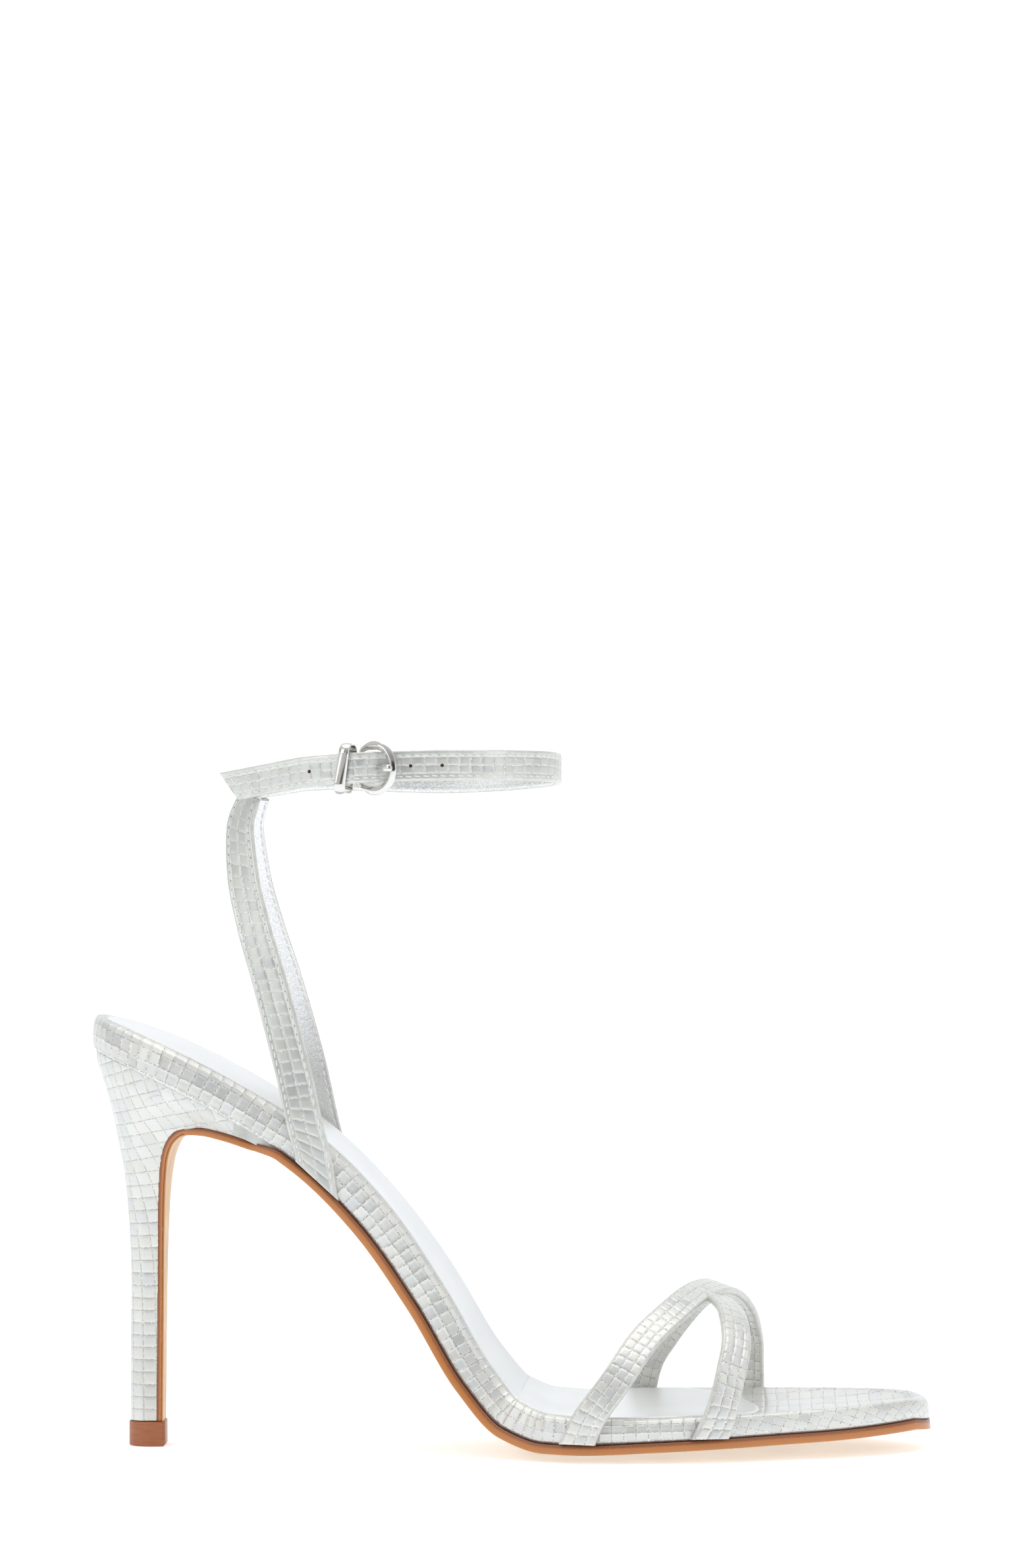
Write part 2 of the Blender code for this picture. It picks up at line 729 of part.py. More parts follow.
def make_outsole():
    """One thin band: up the heel's front, along the shank and under the forefoot."""
    ribbon = outsole_ribbon()

    def thick(at):
        share = (at / ribbon.length[-1] - COVER_SHARE) / (SOLE_SHARE - COVER_SHARE)
        return BREAST_COVER_THICKNESS + (OUTSOLE_THICKNESS - BREAST_COVER_THICKNESS) * np.clip(share, 0, 1)

    layers = [
        (OUTSOLE_BEVEL, lambda at: -COVER_GAP - thick(at)),
        (0.0, lambda at: OUTSOLE_BEVEL - COVER_GAP - thick(at)),
        (0.0, lambda at: -COVER_GAP),
    ]
    stations = pick_stations(ribbon, SOLE_STATION, math.radians(8))
    return board("outsole", ribbon, stations, layers, FACE_ROWS, "tan", floor=0.0)


def belly(share):
    """Half width of a heel section from its back to its front, as a share of the widest."""
    grown = np.clip(share / BELLY_SHARE, 0, 1)
    late = np.clip((share - BELLY_SHARE) / (1 - BELLY_SHARE), 0, 1)
    return np.sqrt(1 - (1 - grown) ** 2) * (1 - (1 - BREAST_SHARE) * late)


def section_shares():
    """Places from the back of a heel section to its front, close together at the round back."""
    back = (1 - np.cos(np.linspace(0, math.pi / 2, 8))) * BELLY_SHARE
    front = np.linspace(BELLY_SHARE, 1, 4)[1:]
    return np.concatenate([back, front])


def heel_ring(back, front, half, bend):
    """One D-shaped section of the heel, bent to the footbed by bend, from 0 to 1."""
    shares = section_shares()
    x = back[0] + (front[0] - back[0]) * shares
    z = back[1] + (front[1] - back[1]) * shares
    seat_back = HEEL_SEAT_LENGTH * HEEL[-1][0]
    seat_x = seat_back + (HEEL_SEAT_LENGTH - seat_back) * shares
    seat_z = last("rise", seat_x) - last("crown", seat_x)
    chord = seat_z[0] + (seat_z[-1] - seat_z[0]) * shares
    z = z + (seat_z - chord) * bend
    wide = belly(shares) * half
    outer = [(a, -w, c) for a, w, c in zip(x, wide, z)]
    inner = [(a, w, c) for a, w, c in zip(x, wide, z)][:0:-1]
    return outer + [(front[0], 0.0, z[-1])] + inner


def ring_strips(model, loop, count):
    """Close a heel section with strips across it, so that a bent one keeps its bend."""
    outer = loop[:count]
    middle = loop[count]
    inner = [loop[0]] + loop[:count:-1]
    for i in range(count - 1):
        corners = [outer[i], outer[i + 1], inner[i + 1], inner[i]]
        unique = [c for k, c in enumerate(corners) if c not in corners[:k]]
        if i == count - 2:
            unique.insert(unique.index(inner[i + 1]), middle)
        model.faces.new(unique)


def make_heel():
    """The stiletto heel: a thin stem that flares to the seat under the footbed."""
    back = np.stack([heel_column("back"), heel_column("back_rise")], 1)
    front = np.stack([heel_column("front"), heel_column("front_rise")], 1)
    half = STEM_HALF_WIDTH + heel_column("half")
    back[0, 1] = TIP_HEIGHT + GAP
    front[0, 1] = TIP_HEIGHT + GAP
    for end in (back, front):
        end[-1, 1] = last("rise", end[-1, 0]) - last("crown", end[-1, 0]) - GAP
    bends = np.clip((half - STEM_HALF_WIDTH) / (HEEL_SEAT_HALF_WIDTH - STEM_HALF_WIDTH), 0, 1)
    model = bmesh.new()
    loops = []
    for i in range(len(HEEL)):
        ring = heel_ring(back[i], front[i], half[i], bends[i])
        loops.append([model.verts.new(point) for point in ring])
    size = len(loops[0])
    for here, there in zip(loops, loops[1:]):
        for i in range(size):
            j = (i + 1) % size
            model.faces.new((here[i], here[j], there[j], there[i]))
    count = len(section_shares())
    ring_strips(model, loops[0], count)
    ring_strips(model, loops[-1], count)
    return finish_mesh("heel", model, "silver")


def make_heel_tip():
    """The top piece under the heel and the outsole's lower end, bevelled at its edges."""
    back = heel_column("back")[0] - TIP_MARGIN
    front = heel_column("front")[0] + GAP + BREAST_COVER_THICKNESS + TIP_MARGIN
    half = STEM_HALF_WIDTH + TIP_MARGIN
    rings = []
    for inset, height in (
        (TIP_BEVEL, 0.0),
        (0.0, TIP_BEVEL),
        (0.0, TIP_HEIGHT - TIP_BEVEL),
        (TIP_BEVEL, TIP_HEIGHT),
    ):
        rings.append(heel_ring((back + inset, height), (front - inset, height), half - inset, 0.0))
    return loft("heel_tip", rings, "tip")


def side_slope(along):
    """How fast the footbed's outline moves out or in at a place along it."""
    far = outline_half(along + SLOPE_STEP)
    return (far - outline_half(along - SLOPE_STEP)) / (2 * SLOPE_STEP)


def vamp_route(table, height):
    """Points and outward directions of a vamp strap over the foot."""
    turns = column(table, STRAP_COLUMNS, "turn")
    shares = column(table, STRAP_COLUMNS, "along")
    at = np.arange(-STRAP_END_TURN, 180 + STRAP_END_TURN + 0.1, STRAP_TURN_STEP)
    at[-1] = 180 + STRAP_END_TURN
    along = smooth(turns, shares, at) * SOLE_RUN
    half = outline_half(along) + STRAP_GAP + VAMP_THICKNESS / 2
    aside = last("aside", along)
    edge = last("rise", along)
    top = edge + last("thick", along)
    turn = np.radians(np.clip(at, 0, 180))
    beyond = np.clip(np.maximum(-at, at - 180) / STRAP_END_TURN, 0, 1)
    y = aside - np.cos(turn) * half
    z = top + (height - top) * np.sin(turn)
    z = z * (1 - beyond) + (edge + GAP) * beyond
    path = np.stack([along, y, z], 1)
    form = np.stack([np.zeros_like(turn), -np.cos(turn) / half, np.sin(turn) / (height - top)], 1)
    outward = unit(form)
    outward[:, 0] = INSTEP_SLOPE * np.sin(turn) - side_slope(along) * np.abs(np.cos(turn))
    return path, unit(outward)


def foot_slant(path, reach):
    """Skew of the stations near both ends, so that the ends lie along the sole."""
    lengths = run_length(path)
    slants = np.zeros(len(path))
    for end, sign in ((0, 1), (-1, -1)):
        step = path[1] - path[0] if end == 0 else path[-2] - path[-1]
        lean = step[0] / math.hypot(step[1], step[2])
        far = lengths if end == 0 else lengths[-1] - lengths
        slants += np.clip(1 - far / reach, 0, 1) * lean * sign
    return slants


def make_vamp():
    """Two folded straps over the toes, joined where they cross."""
    made = []
    for name, table, height in (
        ("vamp_straps", TOP_STRAP, VAMP_HEIGHT),
        ("under_strap", UNDER_STRAP, VAMP_HEIGHT - VAMP_THICKNESS + VAMP_OVERLAP),
    ):
        path, outward = vamp_route(table, height)
        lengths = run_length(path)
        reach = VAMP_FOOT_REACH * VAMP_WIDTH
        near_end = np.clip(1 - np.minimum(lengths, lengths[-1] - lengths) / reach, 0, 1)
        widths = VAMP_WIDTH * (1 + (VAMP_FOOT_WIDER - 1) * near_end)

        def section_at(i, widths=widths):
            return strap_section(widths[i], VAMP_THICKNESS)

        made.append(sweep(name, path, outward, section_at, "silver", foot_slant(path, reach)))
    return combine(made[0], made[1], "UNION")


def loop_curve():
    """The ankle strap's loop seen from above, from the bar towards the heel and around."""
    start = math.pi + math.acos(BAR_FROM_MIDDLE / (ANKLE_LENGTH / 2))
    angles = start - np.linspace(0, 2 * math.pi, 721)
    return np.stack(
        [
            ANKLE_MIDDLE + ANKLE_LENGTH / 2 * np.cos(angles),
            ANKLE_WIDTH / 2 * np.sin(angles),
        ],
        1,
    )


def loop_length():
    """Length once around the ankle."""
    return run_length(loop_curve())[-1]


def beside_loop(behind, lift):
    """Points in plan at distances behind the bar along the loop and out from it, and the way out."""
    curve = loop_curve()
    lengths = run_length(curve)
    tangent = unit(np.gradient(curve, axis=0))
    around = np.mod(behind, lengths[-1])
    point = np.stack([np.interp(around, lengths, curve[:, k]) for k in (0, 1)], 1)
    along = np.stack([np.interp(around, lengths, tangent[:, k]) for k in (0, 1)], 1)
    out = unit(np.stack([-along[:, 1], along[:, 0]], 1))
    return point + out * np.asarray(lift, float)[:, None], out


def ankle_rise(point):
    """Height of the strap's middle at a place in plan, higher on the outer side."""
    ahead = (point[:, 0] - ANKLE_MIDDLE) / (ANKLE_LENGTH / 2)
    outer = -point[:, 1] / (ANKLE_WIDTH / 2)
    places = column(ANKLE_LOOP, ANKLE_COLUMNS, "ahead")
    rise = smooth(places, column(ANKLE_LOOP, ANKLE_COLUMNS, "rise"), ahead)
    tilt = smooth(places, column(ANKLE_LOOP, ANKLE_COLUMNS, "tilt"), ahead)
    return ANKLE_HEIGHT + ANKLE_RISE * rise + ANKLE_TILT * tilt * outer


def around_bar(steps):
    """The fold of the strap round the bar, from its inner side to its outer side."""
    radius = BAR_RADIUS + GAP + ANKLE_STRAP_THICKNESS / 2
    turns = np.linspace(-math.pi / 2, math.pi / 2, steps)
    behind = -radius * np.cos(turns)
    lift = BAR_LIFT * ANKLE_STRAP_THICKNESS + radius * np.sin(turns)
    return np.stack([behind, lift], 1)


def ankle_route():
    """The strap's route as behind and lift: folded end, bar, once around, buckle and tail."""
    length = loop_length()

    def rows(table, start=0.0):
        table = np.array(table)
        behind = start + table[:, 0] * BAR_RADIUS
        return np.stack([behind, table[:, 1] * ANKLE_STRAP_THICKNESS], 1)

    fold_end = np.array([[FOLD_LENGTH, FOLD_BACK[0][1] * ANKLE_STRAP_THICKNESS]])
    around = np.linspace(0.0, 1.0, LOOP_STEPS)[3:-3] * length
    middle = np.stack([around, np.zeros_like(around)], 1)
    tail_lift = TAIL_OVER[-1][1] * ANKLE_STRAP_THICKNESS
    pieces = [
        fold_end,
        rows(FOLD_BACK),
        around_bar(BAR_TURNS),
        rows(LEAVES_BAR),
        middle,
        rows(MEETS_BAR, length),
        rows(TAIL_OVER, length),
        np.array([[length + TAIL_STRAIGHT_FROM, tail_lift]]),
    ]
    route = np.vstack(pieces)
    return curve_through(route, ROUTE_STEPS)


def ankle_path():
    """The ankle strap's middle line in space, with its tail leaving the loop straight."""
    route = ankle_route()
    plan = beside_loop(route[:, 0], route[:, 1])[0]
    heading = unit(plan[-1] - plan[-2])
    shares = np.linspace(0, 1, TAIL_STEPS + 1)[1:]
    tail = plan[-1] + heading * shares[:, None] * (TAIL_LENGTH - TAIL_STRAIGHT_FROM)
    path = np.vstack([plan, tail])
    rise = ankle_rise(path)
    rise[len(plan):] = rise[len(plan) - 1] + (rise[-1] - TAIL_DROP - rise[len(plan) - 1]) * shares
    return np.column_stack([path, rise])


def make_ankle_strap():
    """One strip from the buckle bar around the ankle, through the buckle, to its loose tail."""
    path = ankle_path()
    tangents = unit(np.gradient(path, axis=0))
    outward = np.column_stack([-tangents[:, 1], tangents[:, 0], np.zeros(len(path))])
    slant = np.zeros(len(path))
    for back, share in enumerate(TAIL_SKEW):
        slant[-1 - back] = share * TAIL_CUT / ANKLE_STRAP_WIDTH
    leaves = ROUTE_STEPS * (1 + len(FOLD_BACK) + BAR_TURNS)
    widens = ROUTE_STEPS * len(LEAVES_BAR)
    share = np.clip((np.arange(len(path)) - leaves) / widens, 0, 1)
    widths = ANKLE_STRAP_WIDTH * (FOLD_WIDTH_SHARE + (1 - FOLD_WIDTH_SHARE) * share)

    def section_at(i):
        return strap_section(widths[i], ANKLE_STRAP_THICKNESS, ANKLE_EDGE)

    strap = sweep("ankle_strap", path, outward, section_at, "silver", slant)
    combine(strap, fold_slot(), "DIFFERENCE")
    for cutter in strap_holes():
        combine(strap, cutter, "DIFFERENCE")
    return strap


def buckle_frame(ahead, lift, up=0.0):
    """A point near the buckle: ahead of the bar, out from the ankle loop and up from its middle."""
    plan, out = beside_loop(-np.atleast_1d(ahead), np.atleast_1d(lift))
    point = np.array([plan[0, 0], plan[0, 1], ankle_rise(plan)[0] + up])
    return point, np.array([out[0, 0], out[0, 1], 0.0])


def buckle_axes():
    """The buckle's own place and axes: its bar's middle, ahead along the strap, out and up."""
    origin, out = buckle_frame(0.0, BAR_LIFT * ANKLE_STRAP_THICKNESS)
    up = np.array([0.0, 0.0, 1.0])
    return origin, np.cross(out, up) * -1, out, up


def in_buckle(points):
    """Points given ahead, out and up of the bar's middle, in space."""
    origin, ahead, out, up = buckle_axes()
    points = np.atleast_2d(points)
    return origin + points[:, :1] * ahead + points[:, 1:2] * out + points[:, 2:3] * up


def block(name, low, high):
    """A box cutter between two corners given ahead, out and up of the bar's middle."""
    rings = []
    for ahead in (low[0], high[0]):
        corners = (
            (ahead, low[1], low[2]),
            (ahead, high[1], low[2]),
            (ahead, high[1], high[2]),
            (ahead, low[1], high[2]),
        )
        rings.append(in_buckle(corners))
    return as_cutter(loft(name, rings, "silver"))


def as_cutter(thing):
    """Mark an object as a tool that only cuts."""
    thing.hide_render = True
    thing.display_type = "WIRE"
    return thing


def fold_slot():
    """The slot in the strap's fold that lets the prong turn on the bar."""
    reach = BAR_RADIUS + GAP + ANKLE_STRAP_THICKNESS + 0.5 * GAP
    half = PRONG_WIDTH / 2 + GAP
    return block("fold_slot", (-reach, -reach - GAP, -half), (reach + GAP, reach, half))


def hole_cutter(behind, lift, radius):
    """A round cutter through one layer of the strap."""
    centre, out = buckle_frame(-behind, lift)
    model = bmesh.new()
    depth = ANKLE_STRAP_THICKNESS + 1.4 * GAP
    bmesh.ops.create_cone(
        model, cap_ends=True, segments=12, radius1=radius, radius2=radius, depth=depth
    )
    across = np.cross(out, (0.0, 0.0, 1.0))
    for vert in model.verts:
        a, b, c = vert.co
        vert.co = centre + across * a + np.array([0.0, 0.0, 1.0]) * b + out * c
    return as_cutter(finish_mesh("hole_cutter", model, "silver"))


def strap_holes():
    """The row of buckle holes: the prong's own, those in front and those behind."""
    route = ankle_route()
    beyond = route[:, 0] - loop_length()
    places = PRONG_HOLE_AHEAD + HOLE_SPACING * np.arange(-HOLES_BEHIND, HOLES_IN_FRONT + 1)
    cutters = []
    late = beyond > -loop_length() / 2
    for ahead in places:
        lift = np.interp(-ahead, beyond[late], route[late, 1])
        radius = HOLE_RADIUS
        if ahead == PRONG_HOLE_AHEAD:
            radius = PRONG_WIDTH / 2 + PRONG_HOLE_GAP
        cutters.append(hole_cutter(-ahead, lift, radius))
    return cutters


def make_ring():
    """The bevelled D-shaped ring with its thin round bar, one closed loop."""
    arc = np.radians(np.linspace(-80, 80, 17))
    waist = RING_DEPTH * RING_WAIST
    upper = [(waist + (RING_DEPTH - waist) * math.cos(a), RING_HALF_HEIGHT * math.sin(a)) for a in arc]
    foot = [(ahead * RING_DEPTH, up * RING_HALF_HEIGHT) for ahead, up in RING_ARM]
    lower = [(ahead, -up) for ahead, up in foot[::-1]]
    bar = [(0.0, up * RING_HALF_HEIGHT) for up in RING_BAR]
    flat = upper + foot + bar + lower
    rise = (RING_LIFT - BAR_LIFT) * ANKLE_STRAP_THICKNESS / RING_DEPTH
    points = in_buckle([(ahead, ahead * rise, up) for ahead, up in flat])
    forward, side = in_buckle([(1, rise, 0), (0, 0, 0)])
    lean = unit(forward - side)
    normal = np.cross(lean, (0, 0, 1))
    normal = normal if np.dot(normal, buckle_axes()[2]) > 0 else -normal
    thin = [2 * math.pi * (i + 0.5) / len(RING_SECTION) for i in range(len(RING_SECTION))]
    round_bar = np.array([(-math.cos(a), -math.sin(a)) for a in thin]) * BAR_RADIUS
    wide = np.array(RING_SECTION) * (RING_SECTION_WIDTH / 2, RING_SECTION_THICKNESS / 2)

    def section_at(i):
        ahead = flat[i][0] / RING_DEPTH
        share = min(max((ahead - 0.01) / RING_ARM[0][0], 0.0), 1.0)
        return round_bar * (1 - share) + wide * share

    outward = np.repeat(normal[None, :], len(flat), axis=0)
    return sweep("buckle_ring", points, outward, section_at, "metal", closed=True)


def make_prong():
    """The prong: hooked round the bar, up through the strap and down onto the ring."""
    radius = BAR_RADIUS + GAP + PRONG_THICKNESS / 2
    hook = np.radians(np.linspace(190, 360, 8))
    start = [(radius * math.cos(a), radius * math.sin(a)) for a in hook]
    reach = [(ahead * RING_DEPTH, out * RING_DEPTH) for ahead, out in PRONG_ROUTE]
    curve = curve_through(np.array(start + reach), 2)
    points = in_buckle([(ahead, out, 0.0) for ahead, out in curve])
    tangents = unit(np.gradient(points, axis=0))
    outward = np.cross(tangents, (0.0, 0.0, 1.0))
    section = strap_section(PRONG_WIDTH, PRONG_THICKNESS, PRONG_EDGE)
    return sweep("buckle_prong", points, outward, lambda i: section, "metal")


def make_keeper():
    """The flat loop that holds the tail against the layers under it."""
    inner = KEEPER_INNER_LIFT * ANKLE_STRAP_THICKNESS - GAP - KEEPER_WALL / 2
    outer = KEEPER_OUTER_LIFT * ANKLE_STRAP_THICKNESS + GAP + KEEPER_WALL / 2
    high = KEEPER_HEIGHT / 2 - KEEPER_WALL / 2
    corner = min(KEEPER_CORNER, (outer - inner) / 2)
    path = []
    for out, up, first in (
        (outer - corner, high - corner, 0),
        (inner + corner, high - corner, 90),
        (inner + corner, -high + corner, 180),
        (outer - corner, -high + corner, 270),
    ):
        for turn in np.radians(np.linspace(first, first + 90, 6)):
            path.append((out + corner * math.cos(turn), up + corner * math.sin(turn)))
    points = []
    away = []
    for out, up in path:
        ahead = -KEEPER_BEHIND_BAR + up * math.tan(KEEPER_LEAN)
        point, direction = buckle_frame(ahead, out, up)
        points.append(point)
        middle = buckle_frame(ahead, (inner + outer) / 2, 0.0)[0]
        away.append(point - middle)
    section = strap_section(KEEPER_WIDTH, KEEPER_WALL, KEEPER_EDGE)
    return sweep("keeper", points, away, lambda i: section, "metal", closed=True)


def leg_route(side):
    """One leg of the back strap: points, outward directions and widths, for side -1 or +1."""
    rises = column(LEG, LEG_COLUMNS, "rise")
    at = np.linspace(0, 1, LEG_STEPS) ** LEG_FOOT_CLOSER
    along = smooth(rises, column(LEG, LEG_COLUMNS, "along"), at) * SOLE_RUN
    spread = smooth(rises, column(LEG, LEG_COLUMNS, "spread"), at)
    face = np.radians(smooth(rises, column(LEG, LEG_COLUMNS, "face"), at))
    wide = smooth(rises, column(LEG, LEG_COLUMNS, "wide"), at) * BACK_STRAP_WIDTH
    foot = along[0]
    beside = along - FOOTBED_THICKNESS * LEG_EDGE_SHIFT
    edge = outline_half(beside) + side * last("aside", beside)
    y = side * (edge + STRAP_GAP + BACK_STRAP_THICKNESS / 2) * spread
    meets = ANKLE_MIDDLE - ANKLE_LENGTH / 2 * math.sqrt(1 - (2 * y[-1] / ANKLE_WIDTH) ** 2)
    meets -= LEG_BEHIND_LOOP
    along = along + (meets - along[-1]) * at**LEG_TIE
    low = last("rise", foot) + GAP
    top = ankle_rise(np.array([[along[-1], y[-1]]]))[0]
    high = top - ANKLE_STRAP_WIDTH / 2 - GAP - CASING_WALL / 2
    path = np.stack([along, y, low + (high - low) * at], 1)
    ahead = last("aside", along + SLOPE_STEP)
    drift = (ahead - last("aside", along - SLOPE_STEP)) / (2 * SLOPE_STEP)
    beside = np.clip((LEG_LEAVES_FOOTBED - at) / (LEG_LEAVES_FOOTBED - LEG_BESIDE_FOOTBED), 0, 1)
    turned = -np.sin(face) - (side_slope(along) + side * drift) * beside
    outward = np.stack([turned, side * np.cos(face), np.zeros_like(face)], 1)
    return path, outward, wide


def leg_slant(path, side):
    """Skew of a leg's stations near its foot, so that its end lies along the sole."""
    foot = path[0]
    rise = last("rise", foot[0] + SLOPE_STEP) - last("rise", foot[0] - SLOPE_STEP)
    sole = unit(np.array([2 * SLOPE_STEP, 0.0, rise]))
    heading = unit(path[1] - path[0])
    across = unit(sole - heading * np.dot(sole, heading))
    lean = np.dot(sole, heading) / np.dot(sole, across)
    reach = BACK_STRAP_WIDTH * LEG_FOOT_REACH
    return np.clip(1 - run_length(path) / reach, 0, 1) * lean * -side


def casing_piece(name, half_reach, wall):
    """A strap-shaped sleeve along the back of the ankle loop, its wall outside the strap's gap."""
    behind = loop_back() + np.linspace(-half_reach, half_reach, CASING_STATIONS)
    plan, out = beside_loop(behind, np.zeros(len(behind)))
    path = np.column_stack([plan, ankle_rise(plan)])
    outward = np.column_stack([out, np.zeros(len(out))])
    more = 2 * (GAP + wall)
    section = strap_section(ANKLE_STRAP_WIDTH + more, ANKLE_STRAP_THICKNESS + more, CASING_EDGE)
    return sweep(name, path, outward, lambda i: section, "silver")


def make_back_strap():
    """Both legs and the casing at their top that the ankle strap runs through, one piece."""
    casing = casing_piece("back_strap", CASING_HALF_REACH, CASING_WALL)
    for side in (-1, 1):
        points, facing, wide = leg_route(side)

        def section_at(i, wide=wide):
            return strap_section(wide[i], BACK_STRAP_THICKNESS, LEG_EDGE)

        leg = sweep("leg", points, facing, section_at, "silver", leg_slant(points, side))
        combine(casing, leg, "UNION")
    hollow = as_cutter(casing_piece("casing_hollow", CASING_HALF_REACH * HOLLOW_LONGER, 0.0))
    return combine(casing, hollow, "DIFFERENCE")


def loop_back():
    """Distance behind the bar at which the ankle loop is furthest back."""
    curve = loop_curve()
    return run_length(curve)[np.argmin(curve[:, 0])]


def clear_scene():
    """Start from an empty scene."""
    for thing in list(bpy.data.objects):
        bpy.data.objects.remove(thing, do_unlink=True)


def centre_shoe(pieces):
    """Move the shoe so that the origin lies under the middle of its box."""
    bpy.context.view_layer.update()
    corners = np.array([list(v.co) for piece in pieces for v in piece.data.vertices])
    middle = (corners.min(axis=0) + corners.max(axis=0)) / 2
    for piece in pieces:
        piece.location = (-middle[0], -middle[1], 0.0)


def main():
    """Build every piece, then set the shoe over the origin."""
    clear_scene()
    ribbon = footbed_ribbon()
    pieces = [
        make_footbed(ribbon),
        make_sock(ribbon),
        make_outsole(),
        make_heel(),
        make_heel_tip(),
        make_vamp(),
        make_back_strap(),
        make_ankle_strap(),
        make_ring(),
        make_prong(),
        make_keeper(),
    ]
    centre_shoe(pieces)


main()
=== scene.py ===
"""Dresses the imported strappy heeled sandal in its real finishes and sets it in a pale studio.

The shapes repeat the tables and formulas of the part's source, at a finer step, in its own frame:
distances from the back of the seat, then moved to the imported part's place by one shift. Every piece
rides on the one body. Lengths are in metres, tile and stitch sizes are real ones.
"""

import json
import logging
import math
from collections.abc import Sequence
from dataclasses import dataclass, field
from enum import Enum

import bmesh
import bpy
import numpy as np
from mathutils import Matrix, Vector

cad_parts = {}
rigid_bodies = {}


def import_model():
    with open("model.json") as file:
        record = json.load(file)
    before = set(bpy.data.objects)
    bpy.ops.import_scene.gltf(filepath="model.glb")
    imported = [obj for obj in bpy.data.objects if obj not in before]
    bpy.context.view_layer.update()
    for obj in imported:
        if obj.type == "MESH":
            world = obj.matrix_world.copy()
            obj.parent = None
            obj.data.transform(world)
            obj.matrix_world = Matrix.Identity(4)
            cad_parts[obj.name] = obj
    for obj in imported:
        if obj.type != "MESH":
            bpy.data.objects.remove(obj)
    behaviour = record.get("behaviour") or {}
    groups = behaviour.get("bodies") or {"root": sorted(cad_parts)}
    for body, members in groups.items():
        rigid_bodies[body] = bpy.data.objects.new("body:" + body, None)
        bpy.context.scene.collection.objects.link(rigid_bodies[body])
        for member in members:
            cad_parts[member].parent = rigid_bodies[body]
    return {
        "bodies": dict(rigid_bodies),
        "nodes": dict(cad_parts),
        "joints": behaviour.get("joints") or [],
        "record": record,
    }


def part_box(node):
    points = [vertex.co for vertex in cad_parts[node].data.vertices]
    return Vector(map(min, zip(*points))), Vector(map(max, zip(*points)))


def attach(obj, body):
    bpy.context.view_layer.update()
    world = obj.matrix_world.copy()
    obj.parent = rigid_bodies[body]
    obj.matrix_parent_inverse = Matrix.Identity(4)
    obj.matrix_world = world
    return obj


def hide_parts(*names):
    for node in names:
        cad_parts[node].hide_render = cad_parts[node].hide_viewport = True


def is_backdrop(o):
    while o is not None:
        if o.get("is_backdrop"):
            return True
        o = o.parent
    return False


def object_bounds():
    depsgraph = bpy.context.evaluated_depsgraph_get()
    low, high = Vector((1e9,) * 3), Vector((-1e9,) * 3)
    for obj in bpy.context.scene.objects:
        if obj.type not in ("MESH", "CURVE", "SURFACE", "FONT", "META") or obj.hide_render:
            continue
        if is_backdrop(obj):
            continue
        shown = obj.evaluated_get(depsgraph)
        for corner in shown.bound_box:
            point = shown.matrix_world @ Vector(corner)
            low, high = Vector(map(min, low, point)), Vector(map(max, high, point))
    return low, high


LOG = logging.getLogger("sandal")

Array = np.ndarray
BODY = "root"
GAP = 0.0003
COVER_GAP = 0.0004
STRAP_GAP = 0.0005


class Facing(Enum):
    """Which finish a strip of a strap's surface has, by its number in the strap's list."""

    OUTER = 0
    EDGE = 1
    INNER = 2
    BORDER = 3


# Small helpers on numbers and curves


def unit(vectors: Array) -> Array:
    """Scale vectors to length 1.

    Args:
        vectors: Vectors along the last axis.

    Returns:
        The same directions at length 1.
    """
    vectors = np.asarray(vectors, float)
    return vectors / np.maximum(np.linalg.norm(vectors, axis=-1, keepdims=True), 1e-12)


def run_length(points: Array) -> Array:
    """Measure the length run along a line of points.

    Args:
        points: Points in order.

    Returns:
        The length run at each point, from 0.
    """
    return np.concatenate([[0], np.cumsum(np.linalg.norm(np.diff(points, axis=0), axis=1))])


def smooth(xs: Array, ys: Array, at: Array) -> Array:
    """Read a cubic through points that never overshoots between them.

    Args:
        xs: Places of the points, rising.
        ys: Values at those places.
        at: Places to read.

    Returns:
        The values there.
    """
    steps = np.diff(xs)
    slopes = np.diff(ys) / steps
    tangents = np.empty_like(ys)
    tangents[0] = slopes[0]
    tangents[-1] = slopes[-1]
    for i in range(1, len(xs) - 1):
        if slopes[i - 1] * slopes[i] <= 0:
            tangents[i] = 0.0
        else:
            first = 2 * steps[i] + steps[i - 1]
            second = steps[i] + 2 * steps[i - 1]
            tangents[i] = (first + second) / (first / slopes[i - 1] + second / slopes[i])
    at = np.clip(at, xs[0], xs[-1])
    i = np.clip(np.searchsorted(xs, at, side="right") - 1, 0, len(xs) - 2)
    t = (at - xs[i]) / steps[i]
    return (
        ys[i] * (1 + 2 * t) * (1 - t) ** 2
        + tangents[i] * steps[i] * t * (1 - t) ** 2
        + ys[i + 1] * t**2 * (3 - 2 * t)
        + tangents[i + 1] * steps[i] * t**2 * (t - 1)
    )


